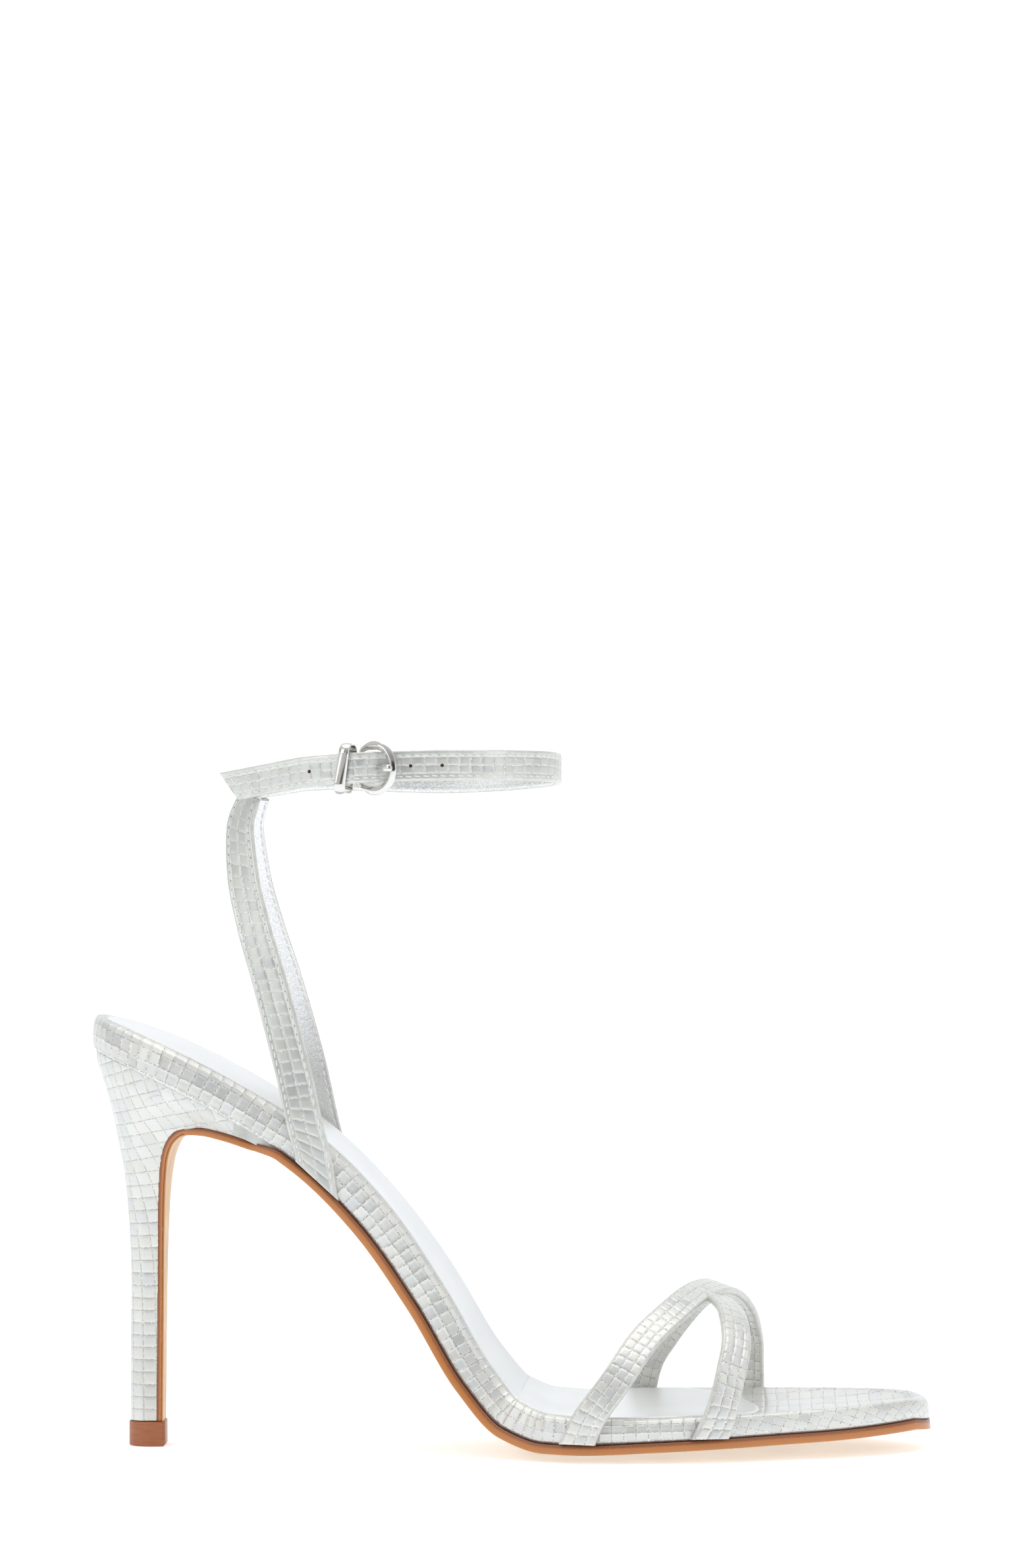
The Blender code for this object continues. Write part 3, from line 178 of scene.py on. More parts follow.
def curve_through(points: Array, per_span: int) -> Array:
    """Draw a round curve through points, centripetal so that uneven ones don't loop.

    Args:
        points: Points to pass through.
        per_span: Steps between two of them.

    Returns:
        The curve's points.
    """
    points = np.asarray(points, float)
    padded = np.vstack([2 * points[0] - points[1], points, 2 * points[-1] - points[-2]])
    curve = []
    for i in range(1, len(padded) - 2):
        p0, p1, p2, p3 = padded[i - 1 : i + 3]
        t0 = 0.0
        t1 = t0 + math.sqrt(np.linalg.norm(p1 - p0))
        t2 = t1 + math.sqrt(np.linalg.norm(p2 - p1))
        t3 = t2 + math.sqrt(np.linalg.norm(p3 - p2))
        for t in np.linspace(t1, t2, per_span, endpoint=False):
            a1 = (t1 - t) / (t1 - t0) * p0 + (t - t0) / (t1 - t0) * p1
            a2 = (t2 - t) / (t2 - t1) * p1 + (t - t1) / (t2 - t1) * p2
            a3 = (t3 - t) / (t3 - t2) * p2 + (t - t2) / (t3 - t2) * p3
            b1 = (t2 - t) / (t2 - t0) * a1 + (t - t0) / (t2 - t0) * a2
            b2 = (t3 - t) / (t3 - t1) * a2 + (t - t1) / (t3 - t1) * a3
            curve.append((t2 - t) / (t2 - t1) * b1 + (t - t1) / (t2 - t1) * b2)
    curve.append(points[-1])
    return np.array(curve)


def read_rows(at: Array, places: Array, rows: Array) -> Array:
    """Read rows of numbers between their places.

    Args:
        at: Places to read.
        places: Where the rows lie, rising.
        rows: One row of numbers at each place.

    Returns:
        The rows at the places asked for.
    """
    return np.stack([np.interp(at, places, rows[:, k]) for k in range(rows.shape[1])], 1)


# The embossed tiles


@dataclass(frozen=True)
class TileEmboss:
    """Square tiles pressed into the foil leather, with narrow grooves between them.

    Attributes:
        pitch: Distance from tile to tile along the piece.
        across: The same across it.
        groove: Depth of the pressed grooves.
        groove_share: Half width of a groove as a share of a tile.
        pillow: How far a tile's middle swells.
        tilt: How far a tile's corner is tipped by the hand of the press.
        wander: How far the lines wander, as a share of a tile.
        seed: Seed of the tiles' own differences.
    """

    pitch: float = 0.0030
    across: float = 0.0030
    groove: float = 0.00007
    groove_share: float = 0.045
    pillow: float = 0.00004
    tilt: float = 0.000012
    wander: float = 0.028
    seed: int = 7

    def stops(self, tiles: float, start: float = 0.0) -> Array:
        """Sample places along a run of tiles, dense at each groove.

        Args:
            tiles: Where the run ends, in tiles.
            start: Where it starts.

        Returns:
            Places in tiles from the start to the end.
        """
        g = self.groove_share
        cell = np.array([0.0, g, 2.2 * g, 0.30, 0.5, 0.70, 1 - 2.2 * g, 1 - g])
        found = (np.arange(math.floor(start), math.ceil(tiles))[:, None] + cell).ravel()
        kept = found[(found > start + 0.02) & (found < tiles - 0.02)]
        return np.concatenate([[start], kept, [tiles]])

    def relief(self, along: Array, across: Array) -> Array:
        """Height of the pressed surface over its base.

        Args:
            along: Places along, in tiles.
            across: Places across, in tiles.

        Returns:
            Heights in metres.
        """
        fa, fb = np.mod(along, 1.0), np.mod(across, 1.0)
        near = np.minimum(np.minimum(fa, 1 - fa), np.minimum(fb, 1 - fb))
        deep = np.clip(1 - near / (2 * self.groove_share), 0, 1)
        ia, ib = np.floor(along).astype(int), np.floor(across).astype(int)
        tips = np.random.default_rng(self.seed).uniform(-1, 1, (257, 61, 2))
        tip = tips[ia % 257, ib % 61]
        swell = (1 - (2 * fa - 1) ** 4) * (1 - (2 * fb - 1) ** 4)
        tipped = (tip[..., 0] * (fa - 0.5) + tip[..., 1] * (fb - 0.5)) * 2 * self.tilt
        return -self.groove * deep**0.7 + (self.pillow * swell + tipped) * (1 - deep)

    def drift(self, along: Array, across: Array) -> tuple[Array, Array]:
        """How far the grid's lines wander from straight ones.

        Args:
            along: Places along, in tiles.
            across: Places across, in tiles.

        Returns:
            Shifts along and across, in tiles.
        """
        w = self.wander
        one = w * (np.sin(along * 1.1 + across * 0.9 + self.seed) + 0.7 * np.sin(along * 0.5 - across * 1.7))
        two = w * (np.sin(across * 1.3 - along * 0.5) + 0.6 * np.sin(along * 0.9 + 1.0 + self.seed))
        return one, two


# Finishes


def linear(code: str) -> tuple[float, float, float, float]:
    """Turn an sRGB hex colour into linear light.

    Args:
        code: A colour such as "b9743f".

    Returns:
        Red, green, blue and alpha.
    """
    parts = [int(code[i : i + 2], 16) / 255 for i in (0, 2, 4)]
    light = [c / 12.92 if c <= 0.04045 else ((c + 0.055) / 1.055) ** 2.4 for c in parts]
    return light[0], light[1], light[2], 1.0


class Nodes:
    """A material's node tree with one short way to add to it."""

    def __init__(self, name: str) -> None:
        """Start a material with its Principled shader.

        Args:
            name: The material's name.
        """
        self.material = bpy.data.materials.new(name)
        self.material.use_nodes = True
        self.tree = self.material.node_tree
        self.shader = self.tree.nodes["Principled BSDF"]

    def add(self, kind: str, settings: dict | None = None, **inputs: object) -> bpy.types.Node:
        """Add one node, set it and link it.

        Args:
            kind: The node's type, without the word ShaderNode.
            settings: Properties of the node.
            **inputs: Input names, with _ for spaces, to values or to sockets of other nodes. A name
                such as i0 is the input with that number.

        Returns:
            The node.
        """
        node = self.tree.nodes.new("ShaderNode" + kind)
        for key, value in (settings or {}).items():
            setattr(node, key, value)
        for key, value in inputs.items():
            numbered = key[0] == "i" and key[1:].isdigit()
            socket = node.inputs[int(key[1:])] if numbered else node.inputs[key.replace("_", " ")]
            if isinstance(value, bpy.types.NodeSocket):
                self.tree.links.new(value, socket)
            else:
                socket.default_value = value
        return node

    def surface(self, **inputs: object) -> None:
        """Set or link inputs of the Principled shader.

        Args:
            **inputs: Input names, with _ for spaces, to values or sockets.
        """
        for key, value in inputs.items():
            socket = self.shader.inputs[key.replace("_", " ")]
            if isinstance(value, bpy.types.NodeSocket):
                self.tree.links.new(value, socket)
            else:
                socket.default_value = value

    def ramp(
        self, source: bpy.types.NodeSocket, stops: Sequence[tuple[float, object]]
    ) -> bpy.types.NodeSocket:
        """Map a value through a ramp of greys or colours.

        Args:
            source: The value.
            stops: Places with a grey level or a linear colour.

        Returns:
            The ramp's colour socket.
        """
        node = self.add("ValToRGB", None, Fac=source)
        marks = node.color_ramp.elements
        while len(marks) < len(stops):
            marks.new(0.5)
        for mark, (place, colour) in zip(marks, stops):
            mark.position = place
            mark.color = colour if isinstance(colour, tuple) else (colour, colour, colour, 1.0)
        return node.outputs["Color"]

    def math(
        self, operation: str, first: object, second: object = 0.0, third: object = 0.0
    ) -> bpy.types.NodeSocket:
        """Add one step of arithmetic.

        Args:
            operation: Blender's name of the operation.
            first: A socket or number.
            second: A socket or number.
            third: A socket or number.

        Returns:
            The result's socket.
        """
        return self.add("Math", {"operation": operation}, i0=first, i1=second, i2=third).outputs[0]


@dataclass(frozen=True)
class FoilTileLeather:
    """Silver foil leather with pressed tiles.

    Goatskin with a transferred metal foil, hot pressed with a grid of small square tiles: each tile
    is a satin mirror at its own slight tilt, the grooves are crushed grey foil whose glints and shade are
    painted in its colour.
    """

    name: str = "foil_tile_leather"
    bright: str = "e4e5e2"
    dim: str = "dddeda"
    cool: str = "eeeff2"
    warm: str = "f2f0ec"
    top: str = "ebebe8"
    # The darkest groove colour is painted shade and the brightest is painted glints; glitter is the place
    # between them where the grooves' own grey lies.
    groove_shade: str = "9a958d"
    groove_glint: str = "fbfbfa"
    roughness: float = 0.34
    metallic: float = 0.56
    line_share: float = 0.055
    spark_mm: float = 0.28
    grain_mm: float = 0.35
    glitter: float = 0.5

    def make(self) -> bpy.types.Material:
        """Build the material on UVs that count tiles.

        Returns:
            The material.
        """
        n = Nodes(self.name)
        uv = n.add("UVMap", {"uv_map": "tiles"}).outputs["UV"]
        cell = n.add("VectorMath", {"operation": "FLOOR"}, i0=uv).outputs[0]
        own = n.add("TexWhiteNoise", {"noise_dimensions": "2D"}, Vector=cell)
        share = n.add("VectorMath", {"operation": "FRACTION"}, i0=uv).outputs[0]
        parts = n.add("SeparateXYZ", None, Vector=share)
        place = n.add("TexCoord").outputs["Object"]
        fray = n.add("TexNoise", None, Vector=place, Scale=1000 / 0.5, Detail=2.0).outputs["Fac"]
        edges = []
        for axis in ("X", "Y"):
            inside = parts.outputs[axis]
            edges.append(n.math("MINIMUM", inside, n.math("SUBTRACT", 1.0, inside)))
        near = n.math("MINIMUM", edges[0], edges[1])
        near = n.math("ADD", near, n.math("MULTIPLY_ADD", fray, 0.04, -0.02))
        groove = n.ramp(n.math("DIVIDE", near, self.line_share), [(0.55, 1.0), (1.0, 0.0)])
        glitter = n.add("TexVoronoi", {"feature": "F1"}, Vector=place, Scale=1000 / self.spark_mm)
        spark = n.add(
            "TexWhiteNoise", {"noise_dimensions": "3D"}, Vector=glitter.outputs["Color"]
        ).outputs["Value"]
        tone = n.ramp(
            own.outputs["Value"],
            [(0.0, linear(self.dim)), (0.22, linear(self.bright)), (1.0, linear(self.top))]
        )
        tint = n.ramp(
            own.outputs["Color"],
            [(0.0, linear(self.cool)), (0.5, linear("f6f6f4")), (1.0, linear(self.warm))]
        )
        mixed = n.add(
            "Mix", {"data_type": "RGBA", "blend_type": "MULTIPLY"}, i0=1.0, i6=tone, i7=tint
        ).outputs[2]
        # Painted light in the grooves: spot by spot their colour runs from painted shade through their own
        # grey to painted glints.
        line = n.ramp(
            spark,
            [
                (0.0, linear(self.groove_shade)), (self.glitter, linear("c4c2bc")),
                (1.0, linear(self.groove_glint))
            ]
        )
        colour = n.add("Mix", {"data_type": "RGBA"}, i0=groove, i6=mixed, i7=line).outputs[2]
        rough = n.math("MULTIPLY_ADD", own.outputs["Value"], 0.08, self.roughness)
        grain = n.add("TexNoise", None, Vector=place, Scale=1000 / self.grain_mm, Detail=3.0, Roughness=0.6)
        height = n.math("MULTIPLY_ADD", n.math("MULTIPLY", groove, spark), 1.2, grain.outputs["Fac"])
        bump = n.add("Bump", None, Strength=0.20, Distance=0.00012, Height=height)
        n.surface(Base_Color=colour, Roughness=rough, Metallic=self.metallic, Normal=bump.outputs[0])
        return n.material


@dataclass(frozen=True)
class PlainFoilLeather:
    """The same foil leather where no tile is pressed: strap borders, flattened and slightly rubbed."""

    name: str = "plain_foil_leather"
    bright: str = "dddfda"
    rubbed: str = "cfd0ca"
    roughness: float = 0.34
    metallic: float = 0.5

    def make(self) -> bpy.types.Material:
        """Build the material.

        Returns:
            The material.
        """
        n = Nodes(self.name)
        place = n.add("TexCoord").outputs["Object"]
        wear = n.add("TexNoise", None, Vector=place, Scale=1000 / 2.4, Detail=4.0)
        grain = n.add("TexNoise", None, Vector=place, Scale=1000 / 0.4, Detail=3.0)
        colour = n.ramp(wear.outputs["Fac"], [(0.35, linear(self.rubbed)), (0.6, linear(self.bright))])
        bump = n.add("Bump", None, Strength=0.15, Distance=0.0001, Height=grain.outputs["Fac"])
        n.surface(Base_Color=colour, Roughness=self.roughness, Metallic=self.metallic, Normal=bump.outputs[0])
        return n.material


@dataclass(frozen=True)
class CrinkledFoilLining:
    """Thin lining leather with a crushed silver foil.

    The foil is laid on soft kid and creased; its small bright and dark facets are painted reflections in its
    colour, over the creases' bump.
    """

    name: str = "crinkled_foil_lining"
    # Colours of the painted facet reflections, bright and dark.
    bright: str = "f2f2f1"
    dark: str = "cbcbcb"
    crease_mm: float = 0.9
    roughness: float = 0.24
    metallic: float = 0.9

    def make(self) -> bpy.types.Material:
        """Build the material.

        Returns:
            The material.
        """
        n = Nodes(self.name)
        place = n.add("TexCoord").outputs["Object"]
        wide = n.add("TexNoise", None, Vector=place, Scale=1000 / (self.crease_mm * 6), Detail=4.0)
        fine = n.add("TexVoronoi", {"feature": "F1"}, Vector=place, Scale=1000 / self.crease_mm)
        specks = n.add("TexNoise", None, Vector=place, Scale=1000 / 0.30, Detail=4.0, Roughness=0.75)
        # Painted reflections: specks of bright and dark colour stand in for facets catching or missing the
        # light.
        colour = n.ramp(
            specks.outputs["Fac"],
            [(0.36, linear(self.dark)), (0.5, linear("e2e2e1")), (0.62, linear(self.bright))]
        )
        height = n.math("MULTIPLY_ADD", fine.outputs["Distance"], 0.8, specks.outputs["Fac"])
        height = n.math("MULTIPLY_ADD", wide.outputs["Fac"], 1.0, height)
        bump = n.add("Bump", None, Strength=0.22, Distance=0.00016, Height=height)
        n.surface(Base_Color=colour, Roughness=self.roughness, Metallic=self.metallic, Normal=bump.outputs[0])
        return n.material


@dataclass(frozen=True)
class PearlSockLeather:
    """Smooth sheep lining with a pearl silver coat: a soft satin face with a faint pore grain."""

    name: str = "pearl_sock_leather"
    colour: str = "ecedec"
    pore_mm: float = 0.45
    roughness: float = 0.42
    metallic: float = 0.35

    def make(self) -> bpy.types.Material:
        """Build the material.

        Returns:
            The material.
        """
        n = Nodes(self.name)
        place = n.add("TexCoord").outputs["Object"]
        pores = n.add("TexNoise", None, Vector=place, Scale=1000 / self.pore_mm, Detail=5.0)
        broad = n.add("TexNoise", None, Vector=place, Scale=1000 / 22, Detail=2.0)
        colour = n.ramp(broad.outputs["Fac"], [(0.3, linear("e5e6e5")), (0.7, linear(self.colour))])
        bump = n.add("Bump", None, Strength=0.10, Distance=0.0001, Height=pores.outputs["Fac"])
        n.surface(Base_Color=colour, Roughness=self.roughness, Metallic=self.metallic, Normal=bump.outputs[0])
        return n.material


@dataclass(frozen=True)
class StainedSoleEdge:
    """The cut edge of the leather sole, stained tan and burnished with wax.

    The layers of the cut show as fine lines along it, and its colour is darkest at the top, next to the
    footbed.
    """

    name: str = "stained_sole_edge"
    colour: str = "c07d40"
    dark: str = "8a5028"
    roughness: float = 0.36

    def make(self) -> bpy.types.Material:
        """Build the material on UVs whose second value runs up the edge.

        Returns:
            The material.
        """
        n = Nodes(self.name)
        uv = n.add("UVMap", {"uv_map": "tiles"}).outputs["UV"]
        up = n.add("SeparateXYZ", None, Vector=uv).outputs["Y"]
        stretched = n.add("Mapping", None, Vector=uv, Scale=(12.0, 60.0, 1.0)).outputs[0]
        fibre = n.add("TexNoise", None, Vector=stretched, Scale=1.0, Detail=4.0)
        # Darker towards the top of the edge, next to the footbed: the ramp darkens as the height up the edge
        # grows.
        shade = n.math("MULTIPLY_ADD", fibre.outputs["Fac"], 0.35, up)
        colour = n.ramp(
            shade,
            [
                (0.12, linear("b06c35")), (0.40, linear(self.colour)), (0.85, linear("b8723c")),
                (1.0, linear(self.dark))
            ]
        )
        bump = n.add("Bump", None, Strength=0.15, Distance=0.0001, Height=fibre.outputs["Fac"])
        n.surface(
            Base_Color=colour, Roughness=self.roughness, Normal=bump.outputs[0], Coat_Weight=0.25,
            Coat_Roughness=0.25
        )
        return n.material


@dataclass(frozen=True)
class SoleLeatherFace:
    """The grain side of the leather sole, buffed and left pale: light tan with a fine pore grain."""

    name: str = "sole_leather_face"
    colour: str = "e3c7a3"
    shade: str = "d3b188"
    pore_mm: float = 0.5
    roughness: float = 0.5

    def make(self) -> bpy.types.Material:
        """Build the material.

        Returns:
            The material.
        """
        n = Nodes(self.name)
        place = n.add("TexCoord").outputs["Object"]
        broad = n.add("TexNoise", None, Vector=place, Scale=1000 / 9, Detail=5.0)
        pores = n.add("TexNoise", None, Vector=place, Scale=1000 / self.pore_mm, Detail=4.0)
        colour = n.ramp(broad.outputs["Fac"], [(0.3, linear(self.shade)), (0.65, linear(self.colour))])
        bump = n.add("Bump", None, Strength=0.12, Distance=0.0001, Height=pores.outputs["Fac"])
        n.surface(Base_Color=colour, Roughness=self.roughness, Normal=bump.outputs[0])
        return n.material


@dataclass(frozen=True)
class MouldedTopPiece:
    """The moulded polyurethane top piece: a satin brown plastic with faint ground lines."""

    name: str = "moulded_top_piece"
    colour: str = "a8663f"
    dark: str = "965834"
    roughness: float = 0.38

    def make(self) -> bpy.types.Material:
        """Build the material.

        Returns:
            The material.
        """
        n = Nodes(self.name)
        place = n.add("TexCoord").outputs["Object"]
        lined = n.add("Mapping", None, Vector=place, Scale=(200.0, 200.0, 3500.0)).outputs[0]
        lines = n.add("TexNoise", None, Vector=lined, Scale=1.0, Detail=3.0)
        colour = n.ramp(lines.outputs["Fac"], [(0.3, linear(self.dark)), (0.65, linear(self.colour))])
        bump = n.add("Bump", None, Strength=0.12, Distance=0.0001, Height=lines.outputs["Fac"])
        n.surface(Base_Color=colour, Roughness=self.roughness, Normal=bump.outputs[0])
        return n.material


@dataclass(frozen=True)
class PolishedNickel:
    """Cast zinc, polished and nickel plated: a clear, slightly warm mirror with hairline wear."""

    name: str = "polished_nickel"
    colour: str = "dcdad6"
    roughness: float = 0.07

    def make(self) -> bpy.types.Material:
        """Build the material.

        Returns:
            The material.
        """
        n = Nodes(self.name)
        place = n.add("TexCoord").outputs["Object"]
        wear = n.add("TexNoise", None, Vector=place, Scale=1000 / 1.2, Detail=4.0)
        rough = n.math("MULTIPLY_ADD", wear.outputs["Fac"], 0.06, self.roughness - 0.02)
        n.surface(Base_Color=linear(self.colour), Roughness=rough, Metallic=1.0)
        return n.material


@dataclass(frozen=True)
class WaxedThread:
    """Bonded nylon thread, grey white with a soft sheen and the twist of its plies."""

    name: str = "waxed_thread"
    colour: str = "e6e6e2"
    roughness: float = 0.5

    def make(self) -> bpy.types.Material:
        """Build the material.

        Returns:
            The material.
        """
        n = Nodes(self.name)
        place = n.add("TexCoord").outputs["Object"]
        twist = n.add("TexWave", {"bands_direction": "DIAGONAL"}, Vector=place, Scale=1000 / 1.1)
        bump = n.add("Bump", None, Strength=0.3, Distance=0.00005, Height=twist.outputs["Fac"])
        n.surface(
            Base_Color=linear(self.colour), Roughness=self.roughness, Normal=bump.outputs[0],
            Sheen_Weight=0.2
        )
        return n.material


@dataclass(frozen=True)
class NeedleHoleShade:
    """Painted shade of the hole that a needle leaves: a dark disc, with its rim pressed in."""

    name: str = "needle_hole_shade"
    # Grey of the painted shade in the hole.
    colour: str = "8b8984"

    def make(self) -> bpy.types.Material:
        """Build the material.

        Returns:
            The material.
        """
        n = Nodes(self.name)
        place = n.add("TexCoord").outputs["Object"]
        fuzz = n.add("TexNoise", None, Vector=place, Scale=1000 / 0.2, Detail=3.0)
        colour = n.ramp(fuzz.outputs["Fac"], [(0.3, linear("6f6d68")), (0.7, linear(self.colour))])
        n.surface(Base_Color=colour, Roughness=0.8)
        return n.material


@dataclass(frozen=True)
class PaintedStrapEdge:
    """The cut edge of a strap, rolled with silver grey edge paint: smooth with small runs."""

    name: str = "painted_strap_edge"
    colour: str = "d9d9d3"
    roughness: float = 0.38
    metallic: float = 0.25

    def make(self) -> bpy.types.Material:
        """Build the material.

        Returns:
            The material.
        """
        n = Nodes(self.name)
        place = n.add("TexCoord").outputs["Object"]
        runs = n.add("TexNoise", None, Vector=place, Scale=1000 / 1.6, Detail=3.0)
        colour = n.ramp(runs.outputs["Fac"], [(0.3, linear("c9c9c2")), (0.6, linear(self.colour))])
        bump = n.add("Bump", None, Strength=0.2, Distance=0.0001, Height=runs.outputs["Fac"])
        n.surface(Base_Color=colour, Roughness=self.roughness, Metallic=self.metallic, Normal=bump.outputs[0])
        return n.material


@dataclass(frozen=True)
class RawPunchedLeather:
    """The brown raw leather that shows inside a punched hole."""

    name: str = "raw_punched_leather"
    colour: str = "a07a5c"

    def make(self) -> bpy.types.Material:
        """Build the material.

        Returns:
            The material.
        """
        n = Nodes(self.name)
        place = n.add("TexCoord").outputs["Object"]
        fibre = n.add("TexNoise", None, Vector=place, Scale=1000 / 0.25, Detail=4.0)
        colour = n.ramp(fibre.outputs["Fac"], [(0.3, linear("75543c")), (0.7, linear(self.colour))])
        n.surface(Base_Color=colour, Roughness=0.85)
        return n.material


class Finishes:
    """Every finish of the sandal, made once."""

    def __init__(self) -> None:
        """Make the materials."""
        self.tiles = FoilTileLeather().make()
        self.heel_tiles = FoilTileLeather(
            name="foil_tile_heel_cover",
            bright="e0e1de",
            groove_shade="a9a59d",
            groove_glint="f4f3f0",
            line_share=0.042,
            roughness=0.40,
            metallic=0.5,
            glitter=0.70,
        ).make()
        self.strap_tiles = FoilTileLeather(
            name="foil_tile_strap",
            bright="d6d8d4",
            dim="cfd1cd",
            top="dddfdb",
            groove_shade="bdbbb5",
            glitter=0.35,
        ).make()
        self.plain = PlainFoilLeather().make()
        self.lining = CrinkledFoilLining().make()
        self.sock = PearlSockLeather().make()
        self.sole_edge = StainedSoleEdge().make()
        self.sole_face = SoleLeatherFace().make()
        self.top_piece = MouldedTopPiece().make()
        self.nickel = PolishedNickel().make()
        self.thread = WaxedThread().make()
        self.needle = NeedleHoleShade().make()
        self.edge_paint = PaintedStrapEdge().make()
        self.raw = RawPunchedLeather().make()


# Meshes


class Bench:
    """Where pieces are made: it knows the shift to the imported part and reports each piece."""

    def __init__(self) -> None:
        """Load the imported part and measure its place."""
        self.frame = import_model()
        self.cad_box = [list(corner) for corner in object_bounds()]
        low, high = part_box("heel")
        self.shift = np.array([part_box("footbed")[0].x, (low.y + high.y) / 2, 0.0])
        self.finishes = Finishes()

    def mesh(
        self,
        name: str,
        points: Array,
        faces: Sequence[Sequence[int]],
        materials: Sequence[bpy.types.Material],
        slot: str,
        uv: Array | None = None,
        which: Array | None = None,
    ) -> bpy.types.Object:
        """Make a smooth mesh piece that rides on the body.

        Args:
            name: The piece's name.
            points: Vertices in the source's own frame.
            faces: Corner numbers of each face.
            materials: Its finishes.
            slot: The record's material slot; not used.
            uv: Tile coordinates of each vertex, or of each face corner.
            which: The finish number of each face.

        Returns:
            The piece.
        """
        data = bpy.data.meshes.new(name)
        data.from_pydata((np.asarray(points) + self.shift).tolist(), [], [list(map(int, f)) for f in faces])
        data.shade_smooth()
        for finish in materials:
            data.materials.append(finish)
        if uv is not None:
            layer = data.uv_layers.new(name="tiles")
            uv = np.asarray(uv, float)
            if len(uv) != len(data.loops):
                corners = np.empty(len(data.loops), int)
                data.loops.foreach_get("vertex_index", corners)
                uv = uv[corners]
            layer.data.foreach_set("uv", uv.astype(np.float32).ravel())
        if which is not None:
            data.polygons.foreach_set("material_index", np.asarray(which, np.int32))
        data.validate()
        data.update()
        made = bpy.data.objects.new(name, data)
        bpy.context.scene.collection.objects.link(made)
        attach(made, BODY)
        LOG.info("%s: %d faces", name, len(data.polygons))
        return made

    def grid(
        self,
        name: str,
        points: Array,
        materials: Sequence[bpy.types.Material],
        slot: str,
        uv: Array,
        which: Array | None = None,
        around: bool = False,
        caps: bool = False,
        cap_finish: int = 0,
    ) -> bpy.types.Object:
        """Make a piece from rows of points, each row the same length.

        Args:
            name: The piece's name.
            points: Points as rows by columns by 3.
            materials: Its finishes.
            slot: The record's material slot.
            uv: Tile coordinates as rows by columns by 2. A closed piece has one column more.
            which: Finish number of each column of faces.
            around: Whether each row closes on itself.
            caps: Whether the first and last rows are closed with a face.
            cap_finish: The finish of those faces.

        Returns:
            The piece.
        """
        rows, cols = points.shape[:2]
        spans = cols if around else cols - 1
        i = np.arange(rows - 1)[:, None]
        j = np.arange(spans)[None, :]
        k = (j + 1) % cols
        quads = np.stack(
            [i * cols + j, i * cols + k, (i + 1) * cols + k, (i + 1) * cols + j], -1
        ).reshape(-1, 4)
        kk = j + 1
        corner = np.stack([uv[i, j], uv[i, kk], uv[i + 1, kk], uv[i + 1, j]], 2).reshape(-1, 2)
        faces = quads.tolist()
        numbers = np.tile(which if which is not None else np.zeros(spans, int), rows - 1)
        if caps:
            faces += [list(range(cols))[::-1], [(rows - 1) * cols + c for c in range(cols)]]
            corner = np.vstack([corner, np.full((2 * cols, 2), 0.5)])
            numbers = np.append(numbers, [cap_finish, cap_finish])
        return self.mesh(name, points.reshape(-1, 3), faces, materials, slot, corner, numbers)


def grid_normals(points: Array) -> Array:
    """Directions square to a grid of points.

    Args:
        points: Points as rows by columns by 3.

    Returns:
        Unit directions of the same form.
    """
    down = np.gradient(points, axis=0)
    over = np.gradient(points, axis=1)
    return unit(np.cross(down, over))


# The last that everything is built on


